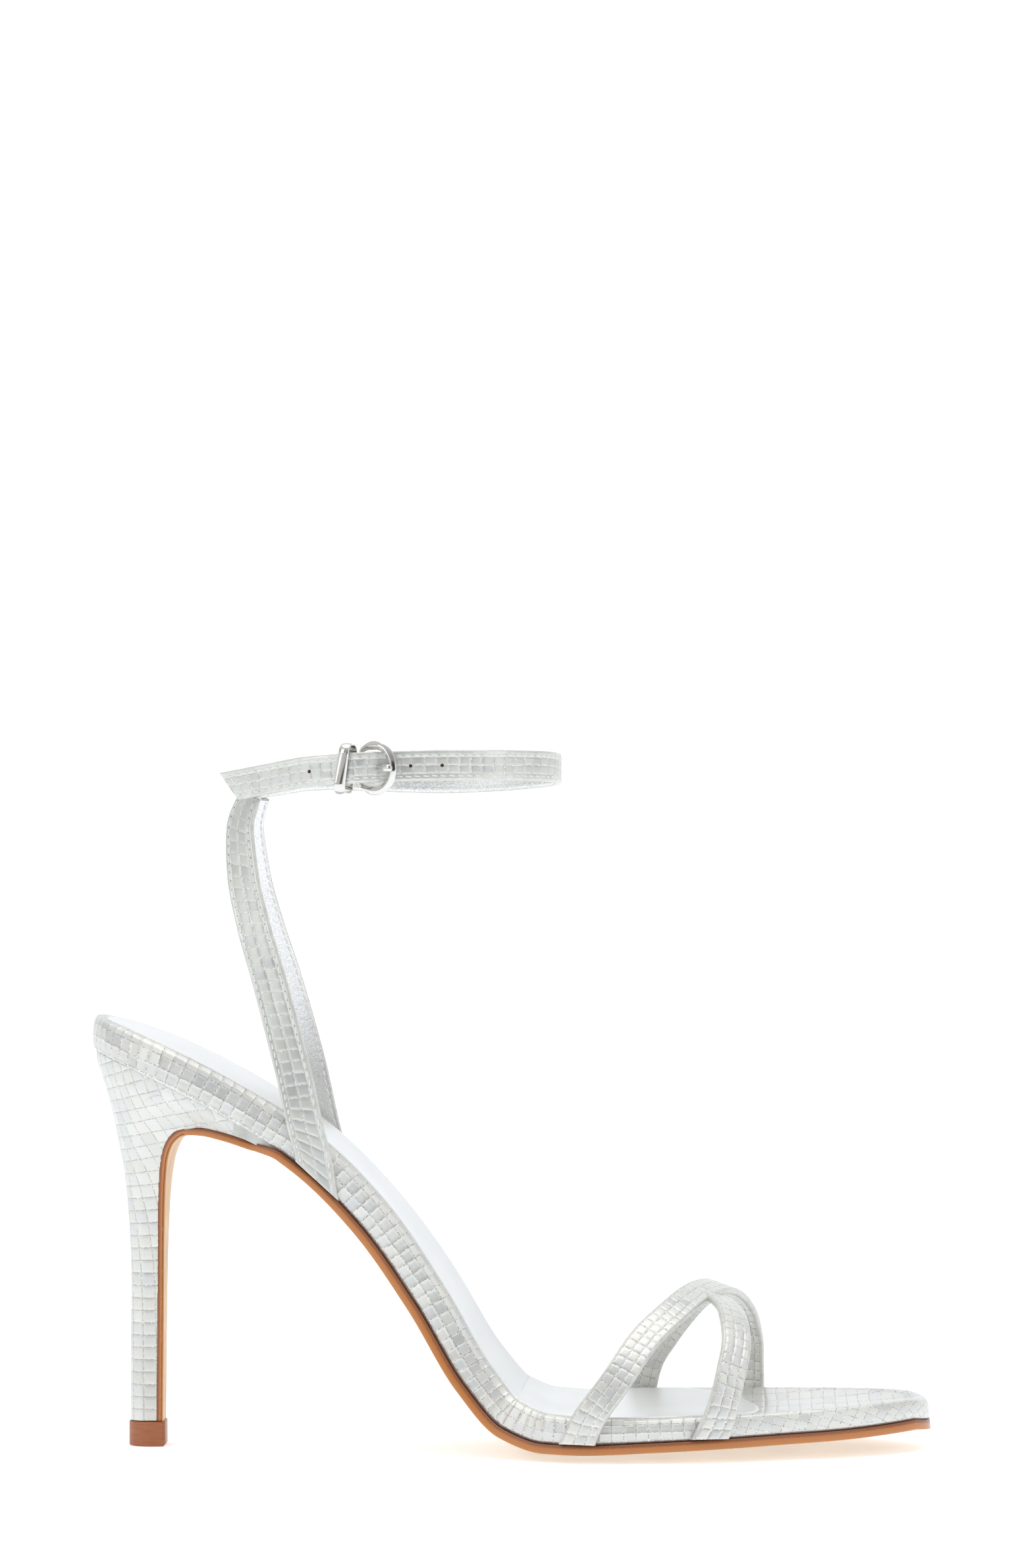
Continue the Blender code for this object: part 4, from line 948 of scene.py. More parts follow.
@dataclass(frozen=True)
class Last:
    """Side curve, plan and thickness of the footbed, as the part's source has them."""

    sole_run: float = 0.213
    seat_height: float = 0.1013
    ball_width: float = 0.077
    seat_round: float = 0.027
    toe_round: float = 0.030
    crown: float = 0.0024
    arch_lift: float = 0.0019
    seat_upright: float = 0.030
    thickness: float = 0.0086
    dish: float = 0.0008
    columns: tuple[str, ...] = ("along", "rise", "half", "aside", "crown", "thick", "lift")
    table: tuple[tuple[float, ...], ...] = (
        (0.000, 1.000, 0.331, 0.000, 0.00, 1.07, 0.00),
        (0.060, 0.949, 0.331, 0.000, 0.00, 1.06, 0.00),
        (0.120, 0.890, 0.331, 0.000, 0.00, 1.04, 0.00),
        (0.188, 0.812, 0.331, 0.000, 0.05, 1.03, 0.00),
        (0.258, 0.714, 0.312, -0.010, 0.15, 1.02, 0.00),
        (0.329, 0.563, 0.273, -0.032, 0.25, 1.00, 0.35),
        (0.390, 0.378, 0.251, -0.045, 0.35, 0.97, 1.00),
        (0.446, 0.183, 0.286, -0.045, 0.55, 0.95, 1.00),
        (0.493, 0.079, 0.351, -0.039, 0.80, 0.93, 0.75),
        (0.545, 0.0460, 0.425, -0.029, 0.95, 0.86, 0.30),
        (0.587, 0.0445, 0.471, -0.016, 1.00, 0.80, 0.00),
        (0.634, 0.0480, 0.495, -0.002, 1.00, 0.74, 0.00),
        (0.681, 0.0525, 0.497, 0.010, 1.00, 0.70, 0.00),
        (0.728, 0.0565, 0.483, 0.018, 0.95, 0.69, 0.00),
        (0.775, 0.0605, 0.455, 0.026, 0.90, 0.68, 0.00),
        (0.822, 0.0645, 0.413, 0.032, 0.80, 0.67, 0.00),
        (0.892, 0.0700, 0.348, 0.036, 0.65, 0.67, 0.00),
        (1.000, 0.0850, 0.286, 0.039, 0.50, 0.65, 0.00),
    )

    def read(self, name: str, along: Array) -> Array:
        """Read a column at its real size.

        Args:
            name: The column.
            along: Distances along the sole.

        Returns:
            Values there.
        """
        sizes = {
            "rise": self.seat_height,
            "half": self.ball_width,
            "aside": self.ball_width,
            "crown": self.crown,
            "thick": self.thickness,
            "lift": self.arch_lift,
        }
        rows = np.array(self.table)
        return smooth(
            rows[:, 0], rows[:, self.columns.index(name)], np.asarray(along) / self.sole_run
        ) * sizes[name]

    def rounded(self, along: Array, seat: float, toe: float, reach: float) -> Array:
        """Share of the half width left where the outline rounds off at its ends.

        Args:
            along: Distances along.
            seat: Length of the round at the seat.
            toe: Length of the round at the front.
            reach: Where the front ends.

        Returns:
            Shares from 0 to 1.
        """
        at_seat = np.clip((seat - along) / seat, 0, 1)
        at_toe = np.clip((along - (reach - toe)) / toe, 0, 1)
        return np.sqrt(np.clip(1 - at_seat**2, 0, 1)) * np.sqrt(np.clip(1 - at_toe**2, 0, 1))

    def outline_half(self, along: Array) -> Array:
        """Half width of the footbed's outline at distances along."""
        return self.read("half", along) * self.rounded(along, self.seat_round, self.toe_round, self.sole_run)

    def side_slope(self, along: Array, step: float = 0.002) -> Array:
        """How fast the outline moves out or in at distances along."""
        return (self.outline_half(along + step) - self.outline_half(along - step)) / (2 * step)


class Ribbon:
    """A bent strip of surface that boards are laid on."""

    def __init__(
        self, last: Last, curve: Array, half: Array, aside: Array, crown: Array, lift: Array,
        upright: Array | None = None
    ) -> None:
        """Set up the strip.

        Args:
            last: The last.
            curve: Side curve as along and height.
            half: Half widths at its points.
            aside: Shifts of its middle.
            crown: How far its edges rise.
            lift: How far its inner side rises.
            upright: Share by which its walls stand upright instead of square to it.
        """
        self.length = run_length(curve)
        self.curve = curve
        tangent = unit(np.gradient(curve, self.length, axis=0))
        self.normal = np.stack([-tangent[:, 1], tangent[:, 0]], 1)
        if upright is not None:
            self.normal = unit(self.normal * (1 - upright)[:, None] + np.outer(upright, (0.0, 1.0)))
        self.half = half
        self.aside = aside
        self.crown = crown
        self.lift = lift
        self.broad = np.maximum(half, last.read("half", curve[:, 0]) * 0.5)

    def read(self, values: Array, at: Array) -> Array:
        """Read values of its points at lengths along."""
        return np.interp(at, self.length, values)

    def along(self, at: Array) -> Array:
        """Distance along the sole at lengths along the strip."""
        return self.read(self.curve[:, 0], at)

    def place(self, at: Array, across: Array, up: Array) -> Array:
        """Points in space.

        Args:
            at: Lengths along the strip.
            across: Distances to the inner side.
            up: Heights above it.

        Returns:
            Points as the last axis.
        """
        broad = np.maximum(self.read(self.broad, at), 1e-4)
        side = np.clip((across - self.read(self.aside, at)) / broad, -1, 1)
        up = up + self.read(self.crown, at) * side**2 + self.read(self.lift, at) * ((1 + side) / 2) ** 2
        x = self.along(at) + self.read(self.normal[:, 0], at) * up
        z = self.read(self.curve[:, 1], at) + self.read(self.normal[:, 1], at) * up
        return np.stack([x, across + 0 * x, z], -1)

    def rim(self, count: int) -> Array:
        """The outline as a closed line of length along and distance across, evenly spaced.

        Args:
            count: How many points.

        Returns:
            Points from the seat's back along the outer side to the toe and back.
        """
        outer = np.stack([self.length, self.aside - self.half], 1)
        inner = np.stack([self.length, self.aside + self.half], 1)[::-1]
        line = np.vstack([outer, inner[1:]])
        lengths = run_length(line)
        return read_rows(np.linspace(0, lengths[-1], count, endpoint=False), lengths, line)


def inset_rim(rim: Array, inset: Array) -> Array:
    """Move a closed outline inwards, square to itself.

    Args:
        rim: The outline, counted from the seat along its outer side.
        inset: How far at each point.

    Returns:
        The inner outline.
    """
    tangent = unit(np.roll(rim, -1, axis=0) - np.roll(rim, 1, axis=0))
    return rim + np.stack([-tangent[:, 1], tangent[:, 0]], 1) * np.asarray(inset)[:, None]


def footbed_ribbon(last: Last) -> Ribbon:
    """The footbed's underside.

    Args:
        last: The last.

    Returns:
        Its ribbon.
    """
    along = (1 - np.cos(np.linspace(0, math.pi, 1201))) / 2 * last.sole_run
    curve = np.stack([along, last.read("rise", along) - last.read("crown", along)], 1)
    upright = np.clip(1 - along / last.seat_upright, 0, 1)
    return Ribbon(
        last, curve, last.outline_half(along), last.read(
            "aside", along
        ), last.read("crown", along), last.read("lift", along), upright
    )


@dataclass
class Footbed:
    """The insole board in its tiled wrap, with the sock on it."""

    last: Last
    bench: Bench
    emboss: TileEmboss = field(default_factory=lambda: TileEmboss(pitch=0.0030, across=0.00288, seed=3))
    profile: tuple[tuple[float, float], ...] = (
        (0.500, 0.000),
        (0.140, 0.000),
        (0.045, 0.040),
        (0.010, 0.140),
        (0.000, 0.480),
        (0.030, 0.740),
        (0.110, 0.920),
        (0.270, 1.000),
        (0.400, 0.985),
        (0.560, 0.880),
    )
    corner: float = 0.09
    roll: float = 0.27
    top_under: float = 0.0003
    toe_from: tuple[float, float] = (0.746, 0.784)
    sock_thickness: float = 0.0006
    sock_inset: float = 0.0023
    sock_reach: float = 0.170
    sock_round: float = 0.024

    def build(self) -> None:
        """Make the wrap around the edge, its front over the toes and the sock."""
        self.ribbon = footbed_ribbon(self.last)
        self.make_wrap()
        self.make_top()
        self.make_sock()

    def thick(self, at: Array) -> Array:
        """Thickness at lengths along the ribbon."""
        return self.last.read("thick", self.ribbon.along(at))

    def top(self, at: Array, across: Array) -> Array:
        """Height of the dished top above the underside."""
        half = np.maximum(self.ribbon.read(self.ribbon.half, at), 1e-4)
        side = np.clip((across - self.ribbon.read(self.ribbon.aside, at)) / half, -1, 1)
        return self.thick(at) - self.last.dish * (1 - side**2)

    def make_wrap(self) -> None:
        """The wrap: rows of tiles round the edge, from under the board up and over its roll."""
        profile = curve_through(np.array(self.profile) * self.last.thickness, 8)
        lengths = run_length(profile)
        at_corner = np.interp(self.corner * self.last.thickness, profile[:, 1], lengths)
        first = at_corner / self.emboss.across
        first -= math.floor(first)
        rim_count = 1600
        rim = self.ribbon.rim(rim_count)
        flat = self.ribbon.place(rim[:, 0], rim[:, 1], np.zeros(rim_count))
        around = run_length(np.vstack([flat, flat[:1]]))
        tiles_round = round(around[-1] / self.emboss.pitch)
        a = self.emboss.stops(tiles_round)
        b = self.emboss.stops(lengths[-1] / self.emboss.across - first, -first)
        aa, bb = np.meshgrid(a, b, indexing="ij")
        near_end = np.minimum(aa, tiles_round - aa)
        steady = np.clip(near_end / 3, 0, 1)
        da, db = self.emboss.drift(aa, bb)
        inner = np.clip(np.minimum(bb - b[0], b[-1] - bb), 0, 1)
        s = (aa + da * steady) / tiles_round * around[-1]
        t = (bb + first + db * inner * steady) * self.emboss.across
        loop = np.vstack([rim, rim[:1]])
        base = np.stack([np.interp(s, around, loop[:, k]) for k in (0, 1)], -1)
        tangent = unit(np.roll(rim, -1, axis=0) - np.roll(rim, 1, axis=0))
        inward = np.stack([-tangent[:, 1], tangent[:, 0]], 1)
        inward = np.vstack([inward, inward[:1]])
        turn = unit(np.stack([np.interp(s, around, inward[:, k]) for k in (0, 1)], -1))
        inset = np.interp(t, lengths, profile[:, 0])
        up = np.interp(t, lengths, profile[:, 1]) / self.last.thickness
        thick = self.thick(base[..., 0])
        spot = base + turn * (inset * np.minimum(thick / self.last.thickness + 0.1, 1))[..., None]
        points = self.ribbon.place(spot[..., 0], spot[..., 1], up * thick)
        normals = -grid_normals(points)
        normals[0] = normals[-1] = unit(normals[0] + normals[-1])
        outer = base[..., 1] < self.ribbon.read(self.ribbon.aside, base[..., 0])
        share = self.ribbon.along(base[..., 0]) / self.last.sole_run
        toe = share > np.where(outer, *self.toe_from)
        points = points + normals * (self.emboss.relief(aa, bb) * ~toe)[..., None]
        roll = self.roll * self.last.thickness
        upper = len(profile) // 2
        at_roll = np.interp(roll, profile[upper:, 0], lengths[upper:])
        sheet = (base + turn * (roll - at_roll + t)[..., None]) / self.emboss.pitch
        uv = np.where(toe[..., None], sheet + 60, np.stack([aa, bb + 20], -1))
        wrap = self.bench.grid("footbed_wrap", points, [self.bench.finishes.tiles], "silver_embossed", uv)
        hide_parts("footbed")

    def make_top(self) -> None:
        """The wrap's flat part over the board, with cross lines in front of the sock."""
        pitch = self.emboss.pitch
        rim = self.ribbon.rim(1600)
        inner = inset_rim(rim, self.roll_reach(rim[:, 0]) - self.top_under)
        outer = inner[:, 1] < self.ribbon.read(self.ribbon.aside, inner[:, 0])
        low, high = inner[:, 0].min() + 1e-5, inner[:, 0].max() - 1e-5
        a = self.emboss.stops(high / pitch, low / pitch)
        b = np.linspace(-1, 1, 61)
        aa, bb = np.meshgrid(a, b, indexing="ij")
        steady = np.clip(np.minimum(aa - a[0], a[-1] - aa), 0, 1)
        da, _ = self.emboss.drift(aa, bb * 4)
        at = (aa + da * steady) * pitch
        ends = []
        for part in (inner[outer], inner[~outer]):
            order = np.argsort(part[:, 0])
            ends.append(np.interp(at, part[order, 0], part[order, 1]))
        across = ends[0] + (ends[1] - ends[0]) * (bb + 1) / 2
        tile_b = across / pitch / 3.0 + 4
        points = self.ribbon.place(at, across, self.top(at, across))
        normals = grid_normals(points)
        normals *= np.sign(normals[..., 2:3])
        fade = np.clip((1 - np.abs(bb)) * 6, 0, 1)
        relief = self.emboss.relief(aa, tile_b) * fade - 0.00005
        points = points + normals * relief[..., None]
        self.bench.grid(
            "footbed_top", points, [self.bench.finishes.tiles], "silver_embossed",
            np.stack([aa, tile_b], -1) + 60
        )

    def roll_reach(self, at: Array) -> Array:
        """How far the wrap's roll reaches in from the outline."""
        thick = self.thick(at) / self.last.thickness
        return self.roll * self.last.thickness * np.minimum(thick + 0.1, 1)

    def make_sock(self) -> None:
        """The pearl sock, a thin sheet with a soft rounded edge."""
        along = self.ribbon.curve[:, 0]
        keep = along <= self.sock_reach
        inset = self.sock_inset
        scale = self.last.rounded(
            along[keep] - inset, self.last.seat_round - inset, self.sock_round, self.sock_reach - inset
        )
        half = (self.last.read("half", along[keep]) - inset) * scale
        start = int(np.argmax(half > 0)) - 1
        kept = np.where(keep)[0][start:]
        half = half[start:]
        half[0] = 0.0
        half[-1] = 0.0
        r = self.ribbon
        sheet = Ribbon(self.last, r.curve[kept], half, r.aside[kept], r.crown[kept], r.lift[kept])
        offset = r.length[kept[0]]
        rim = sheet.rim(900) + (offset, 0)
        middle_at = np.clip(rim[:, 0], offset + inset * 3, offset + sheet.length[-1] - inset * 3)
        middle = np.stack([middle_at, np.interp(middle_at, r.length, r.aside)], 1)
        rings = []
        edge = ((0.0, 0.0), (0.0, 0.35), (0.00012, 0.75), (0.0004, 1.0), (0.0011, 1.06))
        for inward, up in edge:
            ring = inset_rim(rim, np.full(len(rim), inward))
            rings.append(
                r.place(ring[:, 0], ring[:, 1], self.top(ring[:, 0], ring[:, 1]) + up * self.sock_thickness)
            )
        inner = inset_rim(rim, np.full(len(rim), 0.0022))
        for share in np.linspace(0, 1, 15):
            ring = inner + (middle - inner) * share
            rings.append(
                r.place(ring[:, 0], ring[:, 1], self.top(ring[:, 0], ring[:, 1]) + self.sock_thickness)
            )
        points = np.stack(rings, 1)
        points = np.concatenate([points, points[:1]], 0)
        sock = self.bench.grid(
            "sock", points, [self.bench.finishes.sock], "pearl_sock", np.zeros(points.shape[:2] + (2,))
        )
        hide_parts("sock_lining")


@dataclass(frozen=True)
class HeelShape:
    """Sizes and sections of the covered heel, as the part's source has them."""

    seat_length: float = 0.0436
    seat_half: float = 0.0246
    stem_half: float = 0.0046
    tip_height: float = 0.0063
    tip_margin: float = 0.0004
    tip_bevel: float = 0.0004
    breast: float = 0.95
    belly_share: float = 0.57
    table: tuple[tuple[float, ...], ...] = (
        (0.218, 0.065, 0.376, 0.065, 0.00),
        (0.218, 0.257, 0.380, 0.257, 0.01),
        (0.220, 0.420, 0.384, 0.420, 0.04),
        (0.211, 0.538, 0.388, 0.535, 0.09),
        (0.193, 0.642, 0.394, 0.632, 0.17),
        (0.176, 0.701, 0.404, 0.691, 0.26),
        (0.154, 0.752, 0.422, 0.738, 0.37),
        (0.130, 0.806, 0.464, 0.778, 0.50),
        (0.104, 0.855, 0.540, 0.804, 0.64),
        (0.075, 0.901, 0.662, 0.809, 0.78),
        (0.046, 0.940, 0.815, 0.797, 0.90),
        (0.024, 0.969, 0.975, 0.776, 0.97),
        (0.016, 0.980, 1.000, 0.800, 1.00),
    )

    def backs(self, seat_height: float) -> Array:
        """Back points of the sections, as along and height."""
        rows = np.array(self.table)
        return np.stack([rows[:, 0] * self.seat_length, rows[:, 1] * seat_height], 1)

    def fronts(self, seat_height: float) -> Array:
        """Front points of the sections, as along and height."""
        rows = np.array(self.table)
        return np.stack([rows[:, 2] * self.seat_length, rows[:, 3] * seat_height], 1)

    def halves(self) -> Array:
        """Half widths of the sections."""
        return self.stem_half + np.array(self.table)[:, 4] * (self.seat_half - self.stem_half)

    def belly(self, share: Array) -> Array:
        """Half width of a section from its back to its front, as a share of the widest."""
        grown = np.clip(share / self.belly_share, 0, 1)
        late = np.clip((share - self.belly_share) / (1 - self.belly_share), 0, 1)
        return np.sqrt(1 - (1 - grown) ** 2) * (1 - (1 - self.breast) * late)


@dataclass
class Outsole:
    """The leather sole: a cover up the heel's front that runs on along the shank to the toe."""

    last: Last
    shape: HeelShape
    bench: Bench
    thickness: float = 0.0021
    cover: float = 0.0013
    edge: float = 0.0005
    bevel: float = 0.0004
    shank_meets: float = 0.0490
    cover_share: float = 0.15
    sole_share: float = 0.44
    glue_line: float = 0.00008
    toe_round: float = 0.004

    def ribbon(self) -> Ribbon:
        """The line under the footbed and up the heel's front.

        Returns:
            Its ribbon.
        """
        last = self.last
        fronts = self.shape.fronts(last.seat_height)[:-1]
        halves = self.shape.halves()[:-1] * self.shape.breast
        fronts[0, 1] = self.shape.tip_height + self.glue_line
        under = self.shank_meets + (
            last.sole_run - self.shank_meets
        ) * np.sin(np.linspace(0, math.pi / 2, 120))
        sole = np.stack([under, last.read("rise", under) - last.read("crown", under)], 1)
        span = 8
        curve = curve_through(np.vstack([fronts, sole]), span)
        places = np.arange(len(curve)) / span
        x = curve[:, 0]
        on_heel = places <= len(fronts) - 1
        full = last.outline_half(x) + self.edge
        heel_half = smooth(np.arange(len(halves)).astype(float), halves, places)
        blend = np.clip((x - fronts[-1, 0]) / (self.shank_meets - fronts[-1, 0]), 0, 1)
        half = np.where(on_heel, heel_half, halves[-1] + (full - halves[-1]) * blend)
        half[-1] = 0.0
        aside = np.where(on_heel, 0.0, last.read("aside", x))
        crown = np.where(on_heel, 0.0, last.read("crown", x))
        lift = np.where(on_heel, 0.0, last.read("lift", x))
        return Ribbon(last, curve, half, aside, crown, lift)

    def build(self) -> None:
        """Make the edge and the pale face."""
        ribbon = self.ribbon()
        total = ribbon.length[-1]
        share = np.clip(
            (ribbon.length / total - self.cover_share) / (self.sole_share - self.cover_share), 0, 1
        )
        thick = self.cover + (self.thickness - self.cover) * share
        tip = total - self.toe_round * (1 - np.sin(np.linspace(0, math.pi / 2, 40)))
        at = np.unique(np.concatenate([np.linspace(0, total - self.toe_round, 420), tip]))
        half = ribbon.read(ribbon.half, at)
        aside = ribbon.read(ribbon.aside, at)
        depth = np.interp(at, ribbon.length, thick)
        points, uvs, finish = [], [], []

        def row(across: Array, down: Array, tall: float, material: int) -> None:
            """Add one line of points along the sole, with the finish of the strip after it."""
            points.append(ribbon.place(at, aside + across, -down))
            uvs.append(np.stack([at * 100, np.full_like(at, tall)], 1))
            finish.append(material)

        soft = self.bevel
        edge = [(0.0, self.glue_line + 0 * depth, 0.9)]
        edge += [(0.0, COVER_GAP + depth * part, 1 - part) for part in (0.25, 0.5, 0.75)]
        for turn in np.radians((0, 22, 45, 68)):
            edge.append((soft * (1 - math.cos(turn)), COVER_GAP + depth - soft * (1 - math.sin(turn)), 0.2))
        for inset, down, tall in edge:
            row(-np.maximum(half - inset, 0), down, tall, 0)
        for cross in np.linspace(-1, 1, 25):
            row(cross * np.maximum(half - soft, 0), COVER_GAP + depth, 0.2, 1)
        finish[-1] = 0
        for inset, down, tall in edge[::-1]:
            row(np.maximum(half - inset, 0), down, tall, 0)
        for cross in np.linspace(1, -1, 9)[1:-1]:
            row(cross * half, self.glue_line + 0 * depth, 1.0, 0)
        grid = np.stack(points, 1)
        grid[..., 2] = np.maximum(grid[..., 2], 0.0)
        finishes = [self.bench.finishes.sole_edge, self.bench.finishes.sole_face]
        uv = np.stack(uvs + [uvs[0]], 1)
        sole = self.bench.grid(
            "leather_sole", grid, finishes, "tan_sole", uv, np.array(finish), around=True, caps=True
        )
        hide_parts("outsole")


@dataclass
class CoveredHeel:
    """The stiletto heel in its tiled cover, and the top piece under it."""

    last: Last
    shape: HeelShape
    bench: Bench
    emboss: TileEmboss = field(
        default_factory=lambda: TileEmboss(pitch=0.00315, across=0.0033, wander=0.02, seed=11)
    )
    tuck: float = 0.0004
    over_breast: float = 0.0002
    tip_line: float = 0.00008
    corner_from: float = 0.45
    corner_under: float = 0.00012
    seam_from: float = 0.038
    seam_to: float = 0.054
    seam_drops: tuple[float, float] = (0.0030, 0.0012)
    seam_halves: tuple[float, float] = (0.0238, 0.0228)

    def sections(self, count: int) -> tuple[Array, Array, Array, Array]:
        """Sections of the heel read finely from tip to seat.

        Args:
            count: How many.

        Returns:
            Back points, front points, half widths and bends.
        """
        last, shape = self.last, self.shape
        back = shape.backs(last.seat_height)
        front = shape.fronts(last.seat_height)
        half = shape.halves()
        back[0, 1] = shape.tip_height + self.tip_line
        front[0, 1] = shape.tip_height + self.tip_line
        for end in (back, front):
            end[-1, 1] = last.read("rise", end[-1, 0]) - last.read("crown", end[-1, 0]) - GAP
        bend = np.clip((half - shape.stem_half) / (shape.seat_half - shape.stem_half), 0, 1)
        rows = np.column_stack([back, front, half, bend])
        tucked = rows[-1] + (0, self.tuck, 0, self.tuck, 0, 0)
        places = run_length(back)
        at = np.linspace(0, places[-1], count)
        fine = np.column_stack([smooth(places, rows[:, k], at) for k in range(rows.shape[1])])
        fine = np.vstack([fine, tucked])
        return fine[:, 0:2], fine[:, 2:4], fine[:, 4], fine[:, 5]

    def sag(self, shares: Array) -> Array:
        """How far the footbed's underside lies from a straight line, at shares of a section."""
        seat_back = self.shape.seat_length * self.shape.table[-1][0]
        seat_x = seat_back + (self.shape.seat_length - seat_back) * shares
        seat_z = self.last.read("rise", seat_x) - self.last.read("crown", seat_x)
        ends = np.array([seat_back, self.shape.seat_length])
        end_z = self.last.read("rise", ends) - self.last.read("crown", ends)
        return seat_z - (end_z[0] + (end_z[1] - end_z[0]) * shares)

    def cut(self, start: Array, way: Array, reach: float = 0.050, step: float = 0.00012) -> Array:
        """The heel's surface along a line square to its back curve, on the outer side.

        Args:
            start: The line's start on the back curve, in the side view.
            way: Its direction.
            reach: The furthest that it may run.
            step: Distance between its points.

        Returns:
            Points as along, width and height, up to where the line leaves the heel.
        """
        back, front, half, bend = self.fine
        away = np.arange(0, reach, step)
        spots = start + away[:, None] * way
        chord = front - back
        size = np.sum(chord**2, axis=1)
        from_back = spots[:, None, :] - back[None]
        share = np.sum(from_back * chord, axis=2) / size
        inside = np.clip(share, 0, 1)
        level = back[:, 1] + chord[:, 1] * inside + self.sag(inside) * bend
        over = spots[:, 1:] - level
        low = np.sum(over > 0, axis=1) - 1
        last_row = len(half) - 2
        fits = (low <= last_row) & (low >= 0)
        low = np.clip(low, 0, last_row)
        pick = np.arange(len(away))
        under, above = over[pick, low], -over[pick, low + 1]
        part = np.clip(under / np.maximum(under + above, 1e-9), 0, 1)
        at = share[pick, low] * (1 - part) + share[pick, low + 1] * part
        wide = half[low] * (1 - part) + half[low + 1] * part
        spare = self.over_breast / np.sqrt(size[low])
        fits &= at <= 1.0 + spare
        stop = int(np.argmin(fits)) if not fits.all() else len(fits)
        stop = max(stop, 2)
        y = self.shape.belly(np.clip(at, 0, 1)) * wide
        return np.column_stack([spots[:, 0], y, spots[:, 1]])[:stop]

    def build(self) -> None:
        """Make the cover and the top piece."""
        self.fine = self.sections(400)
        back = self.fine[0][:-1]
        climb = run_length(back)
        tangent = unit(np.gradient(back, axis=0))
        rows = self.emboss.stops(climb[-1] / self.emboss.pitch)
        b = self.emboss.stops(16.0)
        grid = np.empty((len(rows), len(b), 3))
        tiles = np.empty((len(rows), len(b)))
        self.runs = []
        for i, at in enumerate(rows * self.emboss.pitch):
            start = np.array([np.interp(at, climb, back[:, k]) for k in (0, 1)])
            along = unit(np.array([np.interp(at, climb, tangent[:, k]) for k in (0, 1)]))
            line = self.cut(start, np.array([along[1], -along[0]]))
            line[0, 1] = 0.0
            run = run_length(line)
            self.runs.append((np.linalg.norm(line[:, ::2] - start, axis=1), run))
            reach = np.minimum(b * self.emboss.across, run[-1])
            grid[i] = read_rows(reach, run, line)
            tiles[i] = reach / self.emboss.across
        mirrored = grid[:, 1:] * (1, -1, 1)
        full = np.concatenate([mirrored[:, ::-1], grid], 1)
        across = np.concatenate([-tiles[:, :0:-1], tiles], 1)
        along = np.repeat(rows[:, None], full.shape[1], axis=1)
        outward = grid_normals(full)
        side = np.where(np.abs(full[..., 1:2]) < 1e-6, np.array([-1.0, 0, 0]), full * (0, 1, 0))
        flip = np.sum(outward * side, -1, keepdims=True)
        outward = np.where(flip < 0, -outward, outward)
        full = full + outward * self.emboss.relief(along, across)[..., None]
        uv = np.stack([along, across + 30], -1)
        cover = self.bench.grid("heel_cover", full, [self.bench.finishes.heel_tiles], "silver_embossed", uv)
        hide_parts("heel")
        self.make_corner(climb, tangent, rows * self.emboss.pitch)
        self.make_top_piece()

    def make_corner(self, climb: Array, tangent: Array, rows: Array) -> None:
        """The cover's front corner under the footbed, which the lines square to the back don't reach.

        Args:
            climb: Length along the back curve at its points.
            tangent: Its direction there.
            rows: Lengths at which the square lines start.
        """
        back, front, half, bend = self.fine
        shares = np.linspace(self.corner_from, 1, 60)
        picks = np.linspace(len(half) * 0.55, len(half) - 1, 70).astype(int)
        flat = back[picks, None] + (front - back)[picks, None] * shares[:, None]
        flat[..., 1] += self.sag(shares) * bend[picks, None]
        spots = flat.reshape(-1, 2)
        ahead = np.einsum("nkc,kc->nk", spots[:, None] - back[None, :-1], tangent)
        foot = np.argmin(np.abs(ahead), axis=1)
        away = np.linalg.norm(spots - back[foot], axis=1)
        line = np.clip(np.searchsorted(rows, climb[foot]), 0, len(rows) - 1)
        run = []
        for number, far in zip(line, away):
            reached, lengths = self.runs[number]
            run.append(np.interp(far, reached, lengths) + max(far - reached[-1], 0.0))
        along = (climb[foot] / self.emboss.pitch).reshape(flat.shape[:2])
        across = (np.array(run) / self.emboss.across).reshape(flat.shape[:2])
        wide = self.shape.belly(shares) * half[picks, None] - self.corner_under + self.emboss.relief(
            along, across
        )
        for side, name in ((-1, "outer"), (1, "inner")):
            points = np.stack([flat[..., 0], side * wide, flat[..., 1]], -1)
            uv = np.stack([along, side * across + 30], -1)
            self.bench.grid(
                "heel_cover_corner_" + name, points, [self.bench.finishes.heel_tiles], "silver_embossed", uv
            )
            at = np.linspace(self.seam_from, self.seam_to, 24)
            top = self.last.read("rise", at) + self.corner_under
            drop = np.linspace(*self.seam_drops, 24)
            beside = side * np.interp(at, at[[0, -1]], self.seam_halves)
            seam = np.stack([np.stack([at, beside, top - drop * part], 1) for part in (0.0, 0.5, 1.0)], 1)
            self.bench.grid(
                "heel_seam_" + name, seam, [
                    self.bench.finishes.plain
                ], "silver_embossed", np.zeros(seam.shape[:2] + (2,))
            )

